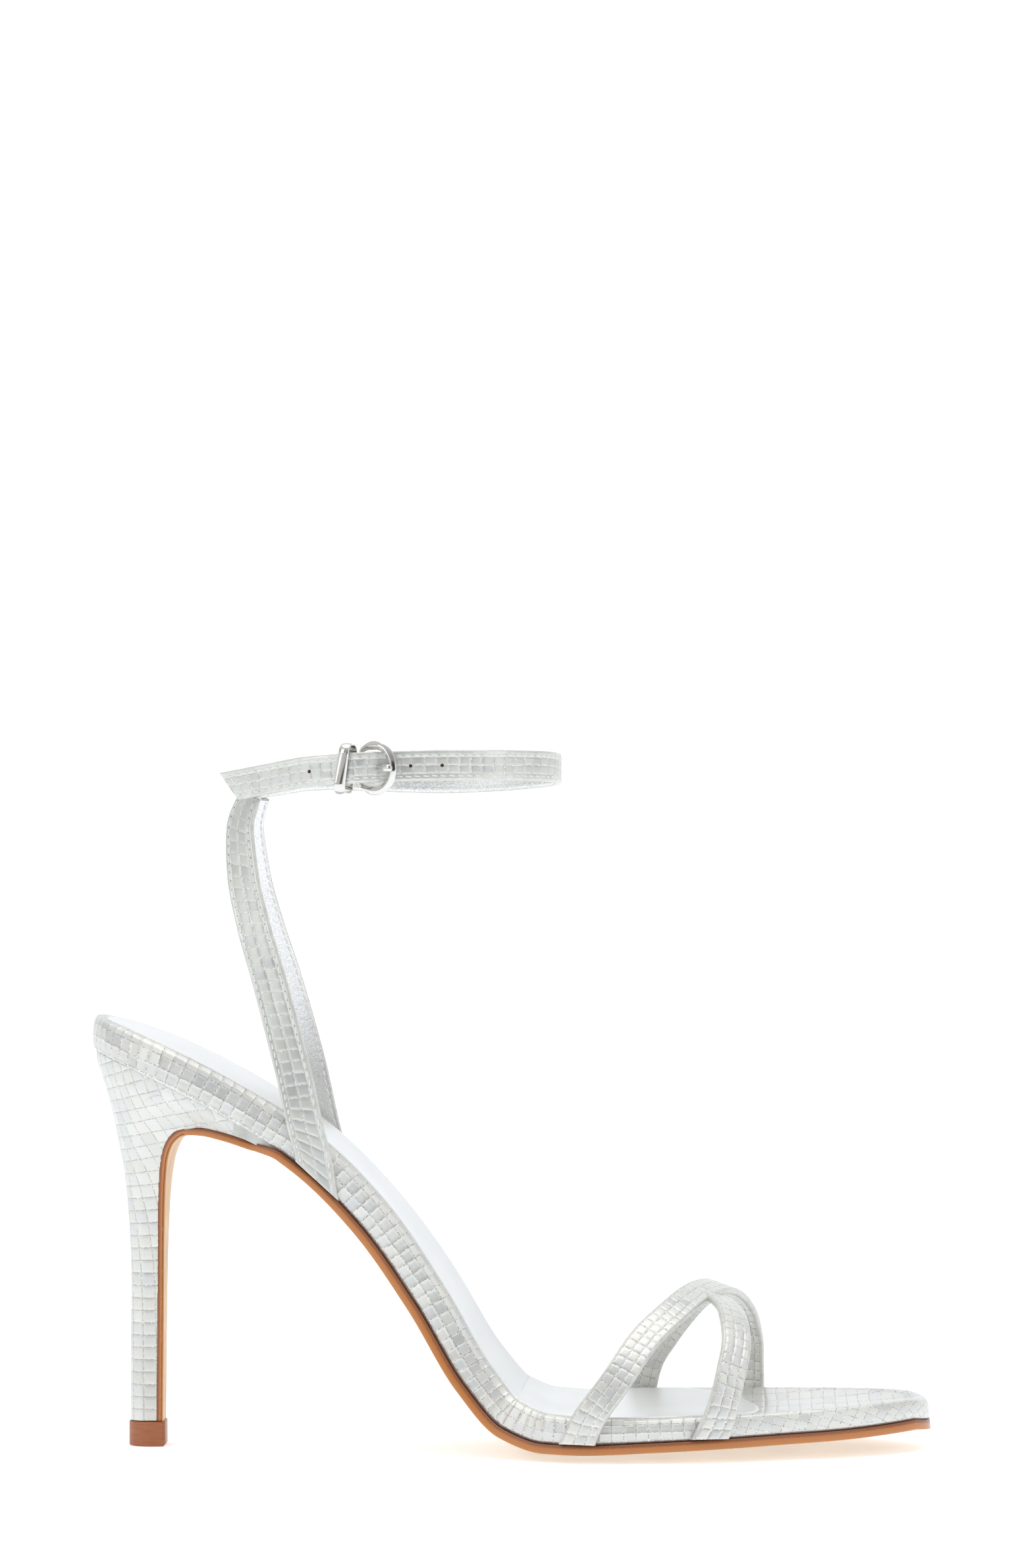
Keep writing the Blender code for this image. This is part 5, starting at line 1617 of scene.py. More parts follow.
    def make_top_piece(self) -> None:
        """The bevelled top piece that the heel stands on."""
        shape = self.shape
        back = shape.table[0][0] * shape.seat_length - shape.tip_margin
        front = shape.table[0][2] * shape.seat_length + GAP + 0.0013 + shape.tip_margin
        half = shape.stem_half + shape.tip_margin
        round_back = (1 - np.cos(np.linspace(0, math.pi / 2, 24))) * shape.belly_share
        shares = np.concatenate([round_back, np.linspace(shape.belly_share, 1, 8)[1:]])
        soft, tall = shape.tip_bevel, shape.tip_height
        lower = [(1.6 * soft, 0.0), (soft, 0.0), (0.3 * soft, 0.3 * soft), (0.0, soft), (0.0, 2 * soft)]
        profile = lower + [(inset / 2, tall - height / 2) for inset, height in lower[::-1]]
        rings = []
        for inset, height in profile:
            x = back + inset + (front - back - 2 * inset) * shares
            y = shape.belly(shares) * (half - inset)
            outer = np.stack([x, -y, np.full_like(x, height)], 1)
            rings.append(np.vstack([outer, (outer * (1, -1, 1))[:0:-1]]))
        points = np.stack(rings, 0)
        uv = np.zeros((points.shape[0], points.shape[1] + 1, 2))
        piece = self.bench.grid(
            "top_piece", points, [self.bench.finishes.top_piece], "brown_tip", uv, around=True, caps=True
        )
        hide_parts("heel_tip")


# Straps


@dataclass
class StrapLine:
    """A strap's middle line with its outward side, width and end skew at each point."""

    path: Array
    outward: Array
    width: Array
    skew: Array

    def __post_init__(self) -> None:
        """Square the outward directions to the line."""
        tangent = unit(np.gradient(self.path, axis=0))
        self.outward = unit(self.outward - tangent * np.sum(self.outward * tangent, axis=1, keepdims=True))
        self.tangent = tangent
        self.side = np.cross(tangent, self.outward)
        self.length = run_length(self.path)

    def place(self, at: Array, across: Array, out: Array) -> Array:
        """Points beside the line.

        Args:
            at: Lengths along it.
            across: Distances to its side.
            out: Distances out from it.

        Returns:
            Points as the last axis.
        """
        centre, side, outward, tangent = (
            np.stack([np.interp(at, self.length, v[:, k]) for k in range(3)], -1)
            for v in (self.path, self.side, self.outward, self.tangent)
        )
        skew = np.interp(at, self.length, self.skew)
        side, outward = unit(side), unit(outward)
        return centre + side * across[..., None] + outward * out[..., None] + tangent * (
            across * skew
        )[..., None]

    def width_at(self, at: Array) -> Array:
        """Width of the strap at lengths along it."""
        return np.interp(at, self.length, self.width)


@dataclass
class StrapMaker:
    """Makes a strap's body with tiles outside, a finish inside and soft edges, and sews it.

    Attributes:
        bench: Where it is made.
        emboss: Its tiles.
        thickness: Its thickness.
        rows: Rows of tiles across its outer face.
        border: Plain border outside the tiles.
        soft: Radius of its edges.
        lean: How far its cross lines lean, at its start and its end.
        folded: Whether the tiles run round its back too.
        stitch_pitch: Distance from stitch to stitch.
        stitch_inset: Distance of the sewing from the edge.
        stitch_size: Length, width and height of a stitch.
        trough: How deep the sewing pulls the leather in.
        holes: Places of punched holes along it.
        hole_radius: Their radius.
    """

    bench: Bench
    emboss: TileEmboss
    thickness: float
    rows: float
    border: float = 0.0
    soft: float = 0.0003
    lean: tuple[float, float] = (0.0, 0.0)
    folded: bool = False
    stitch_pitch: float = 0.0022
    stitch_inset: float = 0.00125
    stitch_size: tuple[float, float, float] = (0.00158, 0.00042, 0.00020)
    trough: float = 0.00009
    holes: tuple[float, ...] = ()
    hole_radius: float = 0.00045
    hole_patch: float = 2.9

    def columns(self) -> list[tuple[float, float, float, float, Facing]]:
        """The lines of points round the strap's section.

        Returns:
            For each line: its side as a share of the half width, its distance in from the edge, its
            distance out as a share of half the thickness, its tile place or -1, and the finish of
            the strip after it.
        """
        soft = self.soft
        corner = ((0.0, 0.25), (0.25 * soft, 0.72), (soft, 1.0))
        lines = [(-1.0, inset, out, -1.0, Facing.EDGE) for inset, out in corner]
        tiles = self.emboss.stops(self.rows)
        if self.border:
            steps = (self.stitch_inset - 0.0004, self.stitch_inset, self.stitch_inset + 0.0004)
            lines[-1] = (-1.0, soft, 1.0, -1.0, Facing.BORDER)
            lines += [(-1.0, inset, 1.0, -1.0, Facing.BORDER) for inset in steps]
        for tile in tiles:
            lines.append((tile / self.rows * 2 - 1, self.border or soft * 1.4, 1.0, tile, Facing.OUTER))
        if self.border:
            lines[-1] = lines[-1][:4] + (Facing.BORDER,)
            lines += [(1.0, inset, 1.0, -1.0, Facing.BORDER) for inset in steps[::-1]]
        lines += [(1.0, inset, out, -1.0, Facing.EDGE) for inset, out in corner[::-1]]
        lines += [(1.0, inset, -out, -1.0, Facing.EDGE) for inset, out in corner[:-1]]
        if self.folded:
            back = [
                (tile / self.rows * 2 - 1, soft * 1.4, -1.0, tile + 20, Facing.OUTER)
                for tile in tiles[::-1]
            ]
        else:
            back = [(side, soft, -1.0, -1.0, Facing.INNER) for side in np.linspace(1, -1, 9)]
        lines += back[:-1] + [back[-1][:4] + (Facing.EDGE,)]
        return lines + [(-1.0, inset, -out, -1.0, Facing.EDGE) for inset, out in corner[1::-1]]

    def pull(self, at: Array, inset: Array) -> Array:
        """How far the sewing pulls the surface in.

        Args:
            at: Lengths along.
            inset: Distances in from the edge.

        Returns:
            Depths.
        """
        near = np.exp(-(((inset - self.stitch_inset) / 0.00035) ** 2))
        beat = 0.75 + 0.25 * np.cos(2 * math.pi * at / self.stitch_pitch)
        return self.trough * near * beat

    def body(self, name: str, line: StrapLine, slot: str) -> bpy.types.Object:
        """Make the strap.

        Args:
            name: The piece's name.
            line: Its line.
            slot: The record's material slot.

        Returns:
            The piece.
        """
        emboss = self.emboss
        total = line.length[-1]
        a = emboss.stops(total / emboss.pitch)
        lean = np.interp(a, (0, a[-1]), self.lean)
        inside = np.clip(np.minimum(a, a[-1] - a), 0, 1)
        width = line.width_at(a * emboss.pitch)
        points, uvs, finish = [], [], []
        for side, inset, out, tile, facing in self.columns():
            tiled = tile > -0.5
            across = side * (width / 2 - inset)
            place_at = a * emboss.pitch + lean * across * inside
            lift = np.full_like(a, out * self.thickness / 2)
            if tiled:
                da, db = emboss.drift(a, np.full_like(a, tile))
                place_at = place_at + da * emboss.pitch * inside
                across = across + db * emboss.pitch * min(1.0, 3 * (1 - abs(side)))
                lift = lift + math.copysign(1, out) * emboss.relief(a, np.full_like(a, tile))
            if self.border and abs(out) == 1:
                lift = lift - math.copysign(1, out) * self.pull(place_at, width / 2 - np.abs(across))
            points.append(line.place(place_at, across, lift))
            uvs.append(np.stack([a, np.full_like(a, tile if tiled else 0.5)], 1))
            finish.append(facing.value)
        f = self.bench.finishes
        tiles = f.tiles if self.folded else f.strap_tiles
        finishes = [tiles, f.edge_paint, f.lining, f.plain]
        grid = np.stack(points, 1)
        uv = np.stack(uvs + [uvs[0]], 1)
        made = self.bench.grid(
            name, grid, finishes, slot, uv, np.array(finish), around=True, caps=True, cap_finish=1
        )
        self.punch(made, line)
        return made

    def punch(self, strap: bpy.types.Object, line: StrapLine) -> None:
        """Take the outer face away inside each punched hole and set a brown well in it.

        Args:
            strap: The strap.
            line: Its line.
        """
        if not self.holes:
            return
        middles = [
            line.place(np.array([at]), np.zeros(1), np.full(1, self.thickness / 2))[0] for at in self.holes
        ]
        model = bmesh.new()
        model.from_mesh(strap.data)
        reach = self.hole_radius * (self.hole_patch - 1)
        gone = []
        for face in model.faces:
            spot = np.array(face.calc_center_median()) - self.bench.shift
            if min(np.linalg.norm(spot - middle) for middle in middles) < reach:
                gone.append(face)
        bmesh.ops.delete(model, geom=gone, context="FACES")
        model.to_mesh(strap.data)
        model.free()
        turn = np.linspace(0, 2 * math.pi, 49)
        sizes = np.linspace(self.hole_patch, 1.0, 20)
        well = ((0.97, 0.00004), (0.92, 0.00030), (0.90, 0.00070), (0.0, 0.00070))
        finish = np.array([0] * len(sizes) + [1] * (len(well) - 1))
        for number, at in enumerate(self.holes):
            grid, uv = [], []
            for size, deep in [(size, -0.00002) for size in sizes] + list(well):
                along = at + np.cos(turn) * self.hole_radius * size
                across = np.sin(turn) * self.hole_radius * size
                a, tile = self.tile_at(line, along, across)
                lift = self.emboss.relief(a, tile) if deep < 0.0001 else 0.0
                grid.append(line.place(along, across, np.zeros(len(turn)) + self.thickness / 2 + lift - deep))
                uv.append(np.stack([a, tile], 1))
            finishes = [self.bench.finishes.strap_tiles, self.bench.finishes.raw]
            self.bench.grid(
                "hole_%d" % number, np.stack(grid, 1), finishes, "silver_embossed", np.stack(uv, 1), finish
            )

    def tile_at(self, line: StrapLine, along: Array, across: Array) -> tuple[Array, Array]:
        """Tile coordinates of places on the outer face.

        Args:
            line: The strap's line.
            along: Lengths along it.
            across: Distances to its side.

        Returns:
            Places along and across, in tiles.
        """
        a = along / self.emboss.pitch
        tile = (across / (line.width_at(along) / 2 - self.border) + 1) * self.rows / 2
        da, db = self.emboss.drift(a, tile)
        return a - da, tile - db

    def sew(
        self, name: str, line: StrapLine, start: float, end: float, slot: str, faces: Sequence[int] = (1,),
        tip: float = 0.0
    ) -> None:
        """Sew rows of stitches along the strap's edges, with dark discs of painted shade for their needle
        holes.

        Args:
            name: The pieces' first name.
            line: The strap's line.
            start: Where sewing starts.
            end: Where it ends.
            slot: The record's material slot.
            faces: Faces on which it shows, 1 outside and -1 inside.
            tip: Where a row crosses the strap beside its cut end, or 0.
        """
        count = max(int((end - start) / self.stitch_pitch), 1)
        middles = start + (np.arange(count) + 0.5) * (end - start) / count
        rows = []
        for facing in faces:
            for edge in (-1, 1):
                reach = np.interp(middles, line.length, line.width) / 2 - self.stitch_inset
                rows += [(at, edge * far, facing, 0.0) for at, far in zip(middles, reach)]
            if tip:
                wide = line.width[-1] - 2 * self.stitch_inset
                number = int(wide / self.stitch_pitch)
                rows += [(tip, (k + 0.5) / number * wide - wide / 2, facing, 1.0) for k in range(number)]
        rng = np.random.default_rng(5)
        ball, links = capsule(6, 5)
        disc = np.array([(0, 0)] + [(math.cos(t), math.sin(t)) for t in np.linspace(0, 2 * math.pi, 9)[:-1]])
        long, wide, tall = self.stitch_size
        beads, bead_faces, holes, hole_faces = [], [], [], []
        for at, across, facing, turned in rows:
            wobble = rng.uniform(-1, 1, 2) * 0.00004
            run = ball[:, 0] * long / 2
            beside = ball[:, 1] * wide / 2 + 0.12 * run + wobble[0]
            out = facing * (
                self.thickness / 2 - self.trough * 0.7 + ball[:, 2] * tall + 0.00010 * (1 - ball[:, 0] ** 2)
            )
            along, over = (at + beside, across + run) if turned else (at + run + wobble[1], across + beside)
            bead_faces += [[i + len(beads) * len(ball) for i in link] for link in links]
            beads.append(line.place(along, over, out))
            # A dark disc of painted shade at each needle hole, pressed in a little.
            run = self.stitch_pitch / 2 + disc[:, 0] * 0.00013
            beside = disc[:, 1] * 0.00026 + disc[:, 0] * 0.00010
            along, over = (at + beside, across + run) if turned else (at + run, across + beside)
            hole_faces += [[j + len(holes) * 9 for j in (0, 1 + t, 1 + (t + 1) % 8)] for t in range(8)]
            holes.append(
                line.place(along, over, np.full(9, facing * (self.thickness / 2 - self.trough * 0.55)))
            )
        self.bench.mesh(name + "_stitches", np.vstack(beads), bead_faces, [self.bench.finishes.thread], slot)
        self.bench.mesh(
            name + "_needle_holes", np.vstack(holes), hole_faces, [self.bench.finishes.needle], slot
        )


def capsule(around: int, rings: int) -> tuple[Array, list[list[int]]]:
    """A stitch's form: a long rounded bead from -1 to 1 on its first axis.

    Args:
        around: Corners around it.
        rings: Rings along it.

    Returns:
        Its points and faces.
    """
    places = np.sin(np.linspace(-math.pi / 2, math.pi / 2, rings + 2))
    points = [(-1.0, 0.0, 0.0)]
    for x in places[1:-1]:
        size = (1 - x**4) ** 0.5
        points += [
            (x, size * math.cos(t), size * math.sin(t))
            for t in np.linspace(0, 2 * math.pi, around + 1)[:-1]
        ]
    points.append((1.0, 0.0, 0.0))
    faces = [[0, 1 + (k + 1) % around, 1 + k] for k in range(around)]
    for r in range(rings - 1):
        low, high = 1 + r * around, 1 + (r + 1) * around
        faces += [[low + k, low + (k + 1) % around, high + (k + 1) % around, high + k] for k in range(around)]
    top = 1 + (rings - 1) * around
    faces += [[len(points) - 1, top + k, top + (k + 1) % around] for k in range(around)]
    return np.array(points), faces


@dataclass
class VampStraps:
    """Two folded, tiled straps that cross over the toes."""

    last: Last
    bench: Bench
    width: float = 0.0077
    thickness: float = 0.0019
    height: float = 0.0406
    overlap: float = 0.0002
    foot_wider: float = 1.12
    foot_reach: float = 1.6
    slope: float = 0.36
    end_turn: float = 10.0
    tile_rows: float = 2.62
    top_route: tuple[tuple[float, float], ...] = (
        (-10, 0.585), (0, 0.599), (20, 0.633), (40, 0.663), (60, 0.699), (90, 0.739),
        (115, 0.763), (140, 0.780), (160, 0.785), (180, 0.784), (190, 0.782),
    )
    under_route: tuple[tuple[float, float], ...] = (
        (-10, 0.740), (0, 0.751), (20, 0.763), (40, 0.770), (60, 0.765), (75, 0.751), (90, 0.736),
        (110, 0.723), (130, 0.705), (150, 0.681), (165, 0.662), (180, 0.652), (190, 0.648),
    )

    def line(self, route: tuple[tuple[float, float], ...], height: float) -> StrapLine:
        """A strap's line over the foot.

        Args:
            route: Turns around the foot with distances along, as shares.
            height: Height of its top.

        Returns:
            The line.
        """
        last = self.last
        rows = np.array(route, float)
        at = np.linspace(-self.end_turn, 180 + self.end_turn, 401)
        along = smooth(rows[:, 0], rows[:, 1], at) * last.sole_run
        half = last.outline_half(along) + STRAP_GAP + self.thickness / 2
        edge = last.read("rise", along)
        top = edge + last.read("thick", along)
        turn = np.radians(np.clip(at, 0, 180))
        beyond = np.clip(np.maximum(-at, at - 180) / self.end_turn, 0, 1)
        y = last.read("aside", along) - np.cos(turn) * half
        z = (top + (height - top) * np.sin(turn)) * (1 - beyond) + (edge + GAP) * beyond
        path = np.stack([along, y, z], 1)
        outward = unit(
            np.stack([np.zeros_like(turn), -np.cos(turn) / half, np.sin(turn) / (height - top)], 1)
        )
        outward[:, 0] = self.slope * np.sin(turn) - last.side_slope(along) * np.abs(np.cos(turn))
        lengths = run_length(path)
        reach = self.foot_reach * self.width
        skew = np.zeros(len(path))
        for end, sign in ((0, 1), (-1, -1)):
            step = path[8] - path[0] if end == 0 else path[-9] - path[-1]
            lean = step[0] / math.hypot(step[1], step[2])
            far = lengths if end == 0 else lengths[-1] - lengths
            skew += np.clip(1 - far / reach, 0, 1) * lean * sign
        near = np.clip(1 - np.minimum(lengths, lengths[-1] - lengths) / reach, 0, 1)
        return StrapLine(path, unit(outward), self.width * (1 + (self.foot_wider - 1) * near), skew)

    def build(self) -> None:
        """Make both straps."""
        under = self.height - self.thickness + self.overlap
        routes = (
            ("vamp_top_strap", self.top_route, self.height), ("vamp_under_strap", self.under_route, under)
        )
        for seed, (name, route, height) in enumerate(routes, 21):
            emboss = TileEmboss(pitch=0.00277, seed=seed)
            maker = StrapMaker(self.bench, emboss, self.thickness, self.tile_rows, soft=0.0005, folded=True)
            strap = maker.body(name, self.line(route, height), "silver_embossed")
            if name == "vamp_top_strap":
                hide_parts("vamp_straps")


@dataclass
class AnkleLoop:
    """Route of the ankle strap: folded on the buckle's bar, once around, through it and on."""

    length: float = 0.0806
    width: float = 0.0560
    middle: float = 0.0785
    height: float = 0.1712
    rise_size: float = 0.0030
    tilt_size: float = 0.0017
    strap_width: float = 0.0077
    thickness: float = 0.0013
    tail_length: float = 0.0358
    tail_straight: float = 0.0150
    tail_cut: float = 0.0042
    tail_drop: float = 0.0003
    fold_length: float = 0.0125
    fold_share: float = 0.78
    bar_behind: float = 0.0082
    bar_radius: float = 0.0007
    bar_lift: float = -0.62
    fold_back: tuple[tuple[float, float], ...] = ((8.0, -1.26), (5.0, -1.40), (2.4, -1.76))
    leaves: tuple[tuple[float, float], ...] = ((2.4, 0.60), (6.0, 0.20), (11.0, 0.0))
    meets: tuple[tuple[float, float], ...] = (
        (-16.0, 0.00), (-11.0, -0.10), (-8.4, -0.10), (-5.6, 0.42), (-2.8, 1.20), (0.0, 1.90)
    )
    tail_over: tuple[tuple[float, float], ...] = ((3.0, 1.95), (7.0, 1.62), (12.0, 1.36))
    rises: tuple[tuple[float, float, float], ...] = (
        (-1.00, -1.00, 0.00),
        (-0.85, -0.68, 0.10),
        (-0.61, -0.10, 0.24),
        (-0.45, 0.03, 0.36),
        (-0.15, 0.08, 0.70),
        (0.36, 0.13, 1.00),
        (1.00, 0.40, 1.00),
    )

    def __post_init__(self) -> None:
        """Draw the loop once."""
        start = math.pi + math.acos(self.bar_behind / (self.length / 2))
        angles = start - np.linspace(0, 2 * math.pi, 1441)
        self.curve = np.stack(
            [self.middle + self.length / 2 * np.cos(angles), self.width / 2 * np.sin(angles)], 1
        )
        self.lengths = run_length(self.curve)
        self.tangent = unit(np.gradient(self.curve, axis=0))

    def beside(self, behind: Array, lift: Array) -> tuple[Array, Array]:
        """Points in plan at distances behind the bar and out from the loop.

        Args:
            behind: Distances behind the bar along the loop.
            lift: Distances out.

        Returns:
            Points in plan and the ways out.
        """
        around = np.mod(behind, self.lengths[-1])
        point = read_rows(around, self.lengths, self.curve)
        along = read_rows(around, self.lengths, self.tangent)
        out = unit(np.stack([-along[:, 1], along[:, 0]], 1))
        return point + out * np.asarray(lift, float)[:, None], out

    def rise(self, point: Array) -> Array:
        """Height of the strap's middle at places in plan."""
        ahead = (point[:, 0] - self.middle) / (self.length / 2)
        outer = -point[:, 1] / (self.width / 2)
        rows = np.array(self.rises)
        rise, tilt = (smooth(rows[:, 0], rows[:, k], ahead) for k in (1, 2))
        return self.height + self.rise_size * rise + self.tilt_size * tilt * outer

    def back(self) -> float:
        """Distance behind the bar at which the loop is furthest back."""
        return float(self.lengths[np.argmin(self.curve[:, 0])])

    def route(self) -> Array:
        """The strap's route as distances behind the bar and out from the loop."""
        total = self.lengths[-1]
        bar, thick = self.bar_radius, self.thickness

        def rows(table: Sequence[tuple[float, float]], start: float = 0.0) -> Array:
            """Rows of a table at their real size, behind a start."""
            table = np.array(table)
            return np.stack([start + table[:, 0] * bar, table[:, 1] * thick], 1)

        radius = bar + GAP + thick / 2
        turns = np.linspace(-math.pi / 2, math.pi / 2, 7)
        bar_rows = np.stack([-radius * np.cos(turns), self.bar_lift * thick + radius * np.sin(turns)], 1)
        around = np.linspace(0.0, 1.0, 34)[3:-3] * total
        pieces = [
            np.array([[self.fold_length, self.fold_back[0][1] * thick]]),
            rows(self.fold_back),
            bar_rows,
            rows(self.leaves),
            np.stack([around, np.zeros_like(around)], 1),
            rows(self.meets, total),
            rows(self.tail_over, total),
            np.array([[total + self.tail_straight, self.tail_over[-1][1] * thick]]),
        ]
        return curve_through(np.vstack(pieces), 12)

    def line(self) -> tuple[StrapLine, int]:
        """The strap's line, and the number of its point where it leaves the bar."""
        route = self.route()
        plan = self.beside(route[:, 0], route[:, 1])[0]
        heading = unit(plan[-1] - plan[-2])
        shares = np.linspace(0, 1, 61)[1:]
        tail = plan[-1] + heading * shares[:, None] * (self.tail_length - self.tail_straight)
        path = np.vstack([plan, tail])
        rise = self.rise(path)
        joint = rise[len(plan) - 1]
        rise[len(plan) :] = joint + (rise[-1] - self.tail_drop - joint) * shares
        path = np.column_stack([path, rise])
        tangent = unit(np.gradient(path, axis=0))
        outward = np.column_stack([-tangent[:, 1], tangent[:, 0], np.zeros(len(path))])
        leaves = 12 * (1 + len(self.fold_back) + 7)
        share = np.clip((np.arange(len(path)) - leaves) / (12 * len(self.leaves)), 0, 1)
        width = self.strap_width * (self.fold_share + (1 - self.fold_share) * share)
        lengths = run_length(path)
        skew = np.clip(1 - (lengths[-1] - lengths) / 0.008, 0, 1) * self.tail_cut / self.strap_width
        return StrapLine(path, outward, width, skew), leaves

    def near_bar(self, ahead: float, lift: float, up: float = 0.0) -> tuple[Array, Array]:
        """A point ahead of the bar, out from the loop and up from its middle, and the way out."""
        plan, out = self.beside(np.array([-ahead]), np.array([lift]))
        return np.array(
            [plan[0, 0], plan[0, 1], self.rise(plan)[0] + up]
        ), np.array([out[0, 0], out[0, 1], 0.0])


@dataclass
class AnkleStrap:
    """The buckled strap: tiles outside, foil lining inside, sewn along both edges."""

    loop: AnkleLoop
    bench: Bench
    hole_ahead: float = 0.0039
    hole_spacing: float = 0.0082
    stitch_from: float = 0.004
    tip_row: float = 0.0019

    def build(self) -> None:
        """Make the strap with its punched holes and its sewing."""
        line, leaves = self.loop.line()
        maker = StrapMaker(
            self.bench, TileEmboss(
                pitch=0.00295, seed=31
            ), self.loop.thickness, 2.0, border=0.00175, holes=self.hole_places(line)
        )
        strap = maker.body("ankle_strap_body", line, "silver_embossed")
        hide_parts("ankle_strap")
        end = line.length[-1] - self.tip_row
        maker.sew(
            "ankle_strap", line, line.length[leaves] + self.stitch_from, end, "silver_embossed",
            faces=(1, -1), tip=end
        )

    def hole_places(self, line: StrapLine) -> tuple[float, ...]:
        """Lengths along the strap at which its tail is punched.

        Args:
            line: The strap's line.

        Returns:
            The lengths, without the prong's own hole.
        """
        tail = line.length > line.length[-1] * 0.7
        found = []
        for step in (-2, -1, 1, 2):
            spot, _ = self.loop.near_bar(self.hole_ahead + self.hole_spacing * step, 0.0)
            away = np.linalg.norm(line.path[:, :2] - spot[:2], axis=1)
            found.append(float(line.length[int(np.argmin(np.where(tail, away, 1.0)))]))
        return tuple(found)


@dataclass
class BackStrap:
    """Two legs that rise from the sole and the casing at their top."""

    last: Last
    loop: AnkleLoop
    bench: Bench
    width: float = 0.0090
    thickness: float = 0.0014
    casing_reach: float = 0.0105
    casing_wall: float = 0.0004
    casing_sink: float = 0.0003
    tuck_under: float = 0.0002
    behind_loop: float = 0.0008
    foot_reach: float = 2.4
    edge_shift: float = 0.45
    beside_to: float = 0.20
    leaves_at: float = 0.45
    tile_lean: float = 0.45
    table: tuple[tuple[float, ...], ...] = (
        (0.00, 0.2775, 1.000, 0, 1.00),
        (0.06, 0.2728, 1.000, 0, 1.00),
        (0.14, 0.2640, 1.000, 0, 1.00),
        (0.26, 0.2518, 0.975, 4, 1.00),
        (0.38, 0.2375, 0.920, 8, 1.00),
        (0.52, 0.2197, 0.830, 13, 1.00),
        (0.66, 0.1998, 0.715, 19, 1.00),
        (0.80, 0.1845, 0.590, 27, 1.00),
        (0.92, 0.1793, 0.475, 36, 0.96),
        (1.00, 0.1880, 0.410, 44, 0.90),
    )

    def line(self, side: int) -> StrapLine:
        """One leg's line.

        Args:
            side: -1 for the outer side, 1 for the inner side.

        Returns:
            The line, from its foot up.
        """
        last, loop = self.last, self.loop
        rows = np.array(self.table)
        at = np.linspace(0, 1, 301)
        along, spread, face, wide = (smooth(rows[:, 0], rows[:, k], at) for k in (1, 2, 3, 4))
        along = along * last.sole_run
        face = np.radians(face)
        foot = along[0]
        beside = along - last.thickness * self.edge_shift
        edge = last.outline_half(beside) + side * last.read("aside", beside)
        y = side * (edge + STRAP_GAP + self.thickness / 2) * spread
        meets = loop.middle - loop.length / 2 * math.sqrt(
            1 - (2 * y[-1] / loop.width) ** 2
        ) - self.behind_loop
        along = along + (meets - along[-1]) * at**4
        low = last.read("rise", foot) + GAP
        top = loop.rise(np.array([[along[-1], y[-1]]]))[0]
        high = top - loop.strap_width / 2 + self.tuck_under
        path = np.stack([along, y, low + (high - low) * at], 1)
        step = 0.002
        drift = (last.read("aside", along + step) - last.read("aside", along - step)) / (2 * step)
        near = np.clip((self.leaves_at - at) / (self.leaves_at - self.beside_to), 0, 1)
        turned = -np.sin(face) - (last.side_slope(along) + side * drift) * near
        outward = np.stack([turned, side * np.cos(face), np.zeros_like(face)], 1)
        rise = last.read("rise", foot + step) - last.read("rise", foot - step)
        sole = unit(np.array([2 * step, 0.0, rise]))
        heading = unit(path[12] - path[0])
        across = unit(sole - heading * np.dot(sole, heading))
        lean = np.dot(sole, heading) / np.dot(sole, across)
        skew = np.clip(1 - run_length(path) / (self.width * self.foot_reach), 0, 1) * lean * -side
        return StrapLine(path, outward, wide * self.width, skew)

    def build(self) -> None:
        """Make the legs, their sewing and the casing."""
        for side, name in ((-1, "outer"), (1, "inner")):
            emboss = TileEmboss(pitch=0.00305, seed=42 + side)
            maker = StrapMaker(
                self.bench, emboss, self.thickness, 2.0, border=0.0016, stitch_inset=0.0011, lean=(
                    0.0, self.tile_lean * side
                )
            )
            line = self.line(side)
            strap = maker.body("back_strap_" + name, line, "silver_embossed")
            maker.sew(
                "back_strap_" + name, line, 0.001, line.length[-1] - 0.001, "silver_embossed", faces=(1, -1)
            )
            if side == -1:
                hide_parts("back_strap")
        self.make_casing()

    def make_casing(self) -> None:
        """The folded casing that the ankle strap runs through: tiles outside, a plain wall inside."""
        loop = self.loop
        behind = loop.back() + np.linspace(-self.casing_reach, self.casing_reach, 90)
        plan, out = loop.beside(behind, np.zeros(len(behind)))
        path = np.column_stack([plan, loop.rise(plan) - self.casing_sink])
        outward = np.column_stack([out, np.zeros(len(out))])
        wall = self.casing_wall
        tall = loop.strap_width / 2 + wall
        deep = loop.thickness / 2 + GAP + wall
        line = StrapLine(path, outward, np.full(len(path), 2 * tall), np.zeros(len(path)))
        emboss = TileEmboss(pitch=0.003, seed=51)
        a = emboss.stops(line.length[-1] / emboss.pitch)
        corner = deep * 0.75
        outline = []
        for up, across, first in ((1, 1, 0), (1, -1, 90), (-1, -1, 180), (-1, 1, 270)):
            for turn in np.radians(np.linspace(first, first + 90, 7)):
                high = up * (tall - corner) + corner * math.sin(turn)
                outline.append((high, across * (deep - corner) + corner * math.cos(turn)))
        outline = np.array(outline + outline[:1])
        lengths = run_length(outline)
        b = emboss.stops(lengths[-1] / emboss.across)
        ring = read_rows(b * emboss.across, lengths, outline)
        outer, inner = [], []
        for (up, across), tile in zip(ring, b):
            lift = emboss.relief(a, np.full_like(a, tile))
            way = unit(np.array([up * 0.1, across]))
            outer.append(line.place(a * emboss.pitch, up + way[0] * lift, across + way[1] * lift))
            high = np.full_like(a, up * (1 - wall / tall))
            inner.append(line.place(a * emboss.pitch, high, np.full_like(a, across * (1 - wall / deep))))
        points = np.concatenate([np.stack(outer, 1), np.stack(inner, 1)[::-1], np.stack(outer, 1)[:1]], 0)
        tiles = np.stack(np.meshgrid(a, b, indexing="ij"), -1)
        uv = np.concatenate([tiles, np.full_like(tiles, 0.5), tiles[:1]], 0)
        self.bench.grid("back_strap_casing", points, [self.bench.finishes.tiles], "silver_embossed", uv)


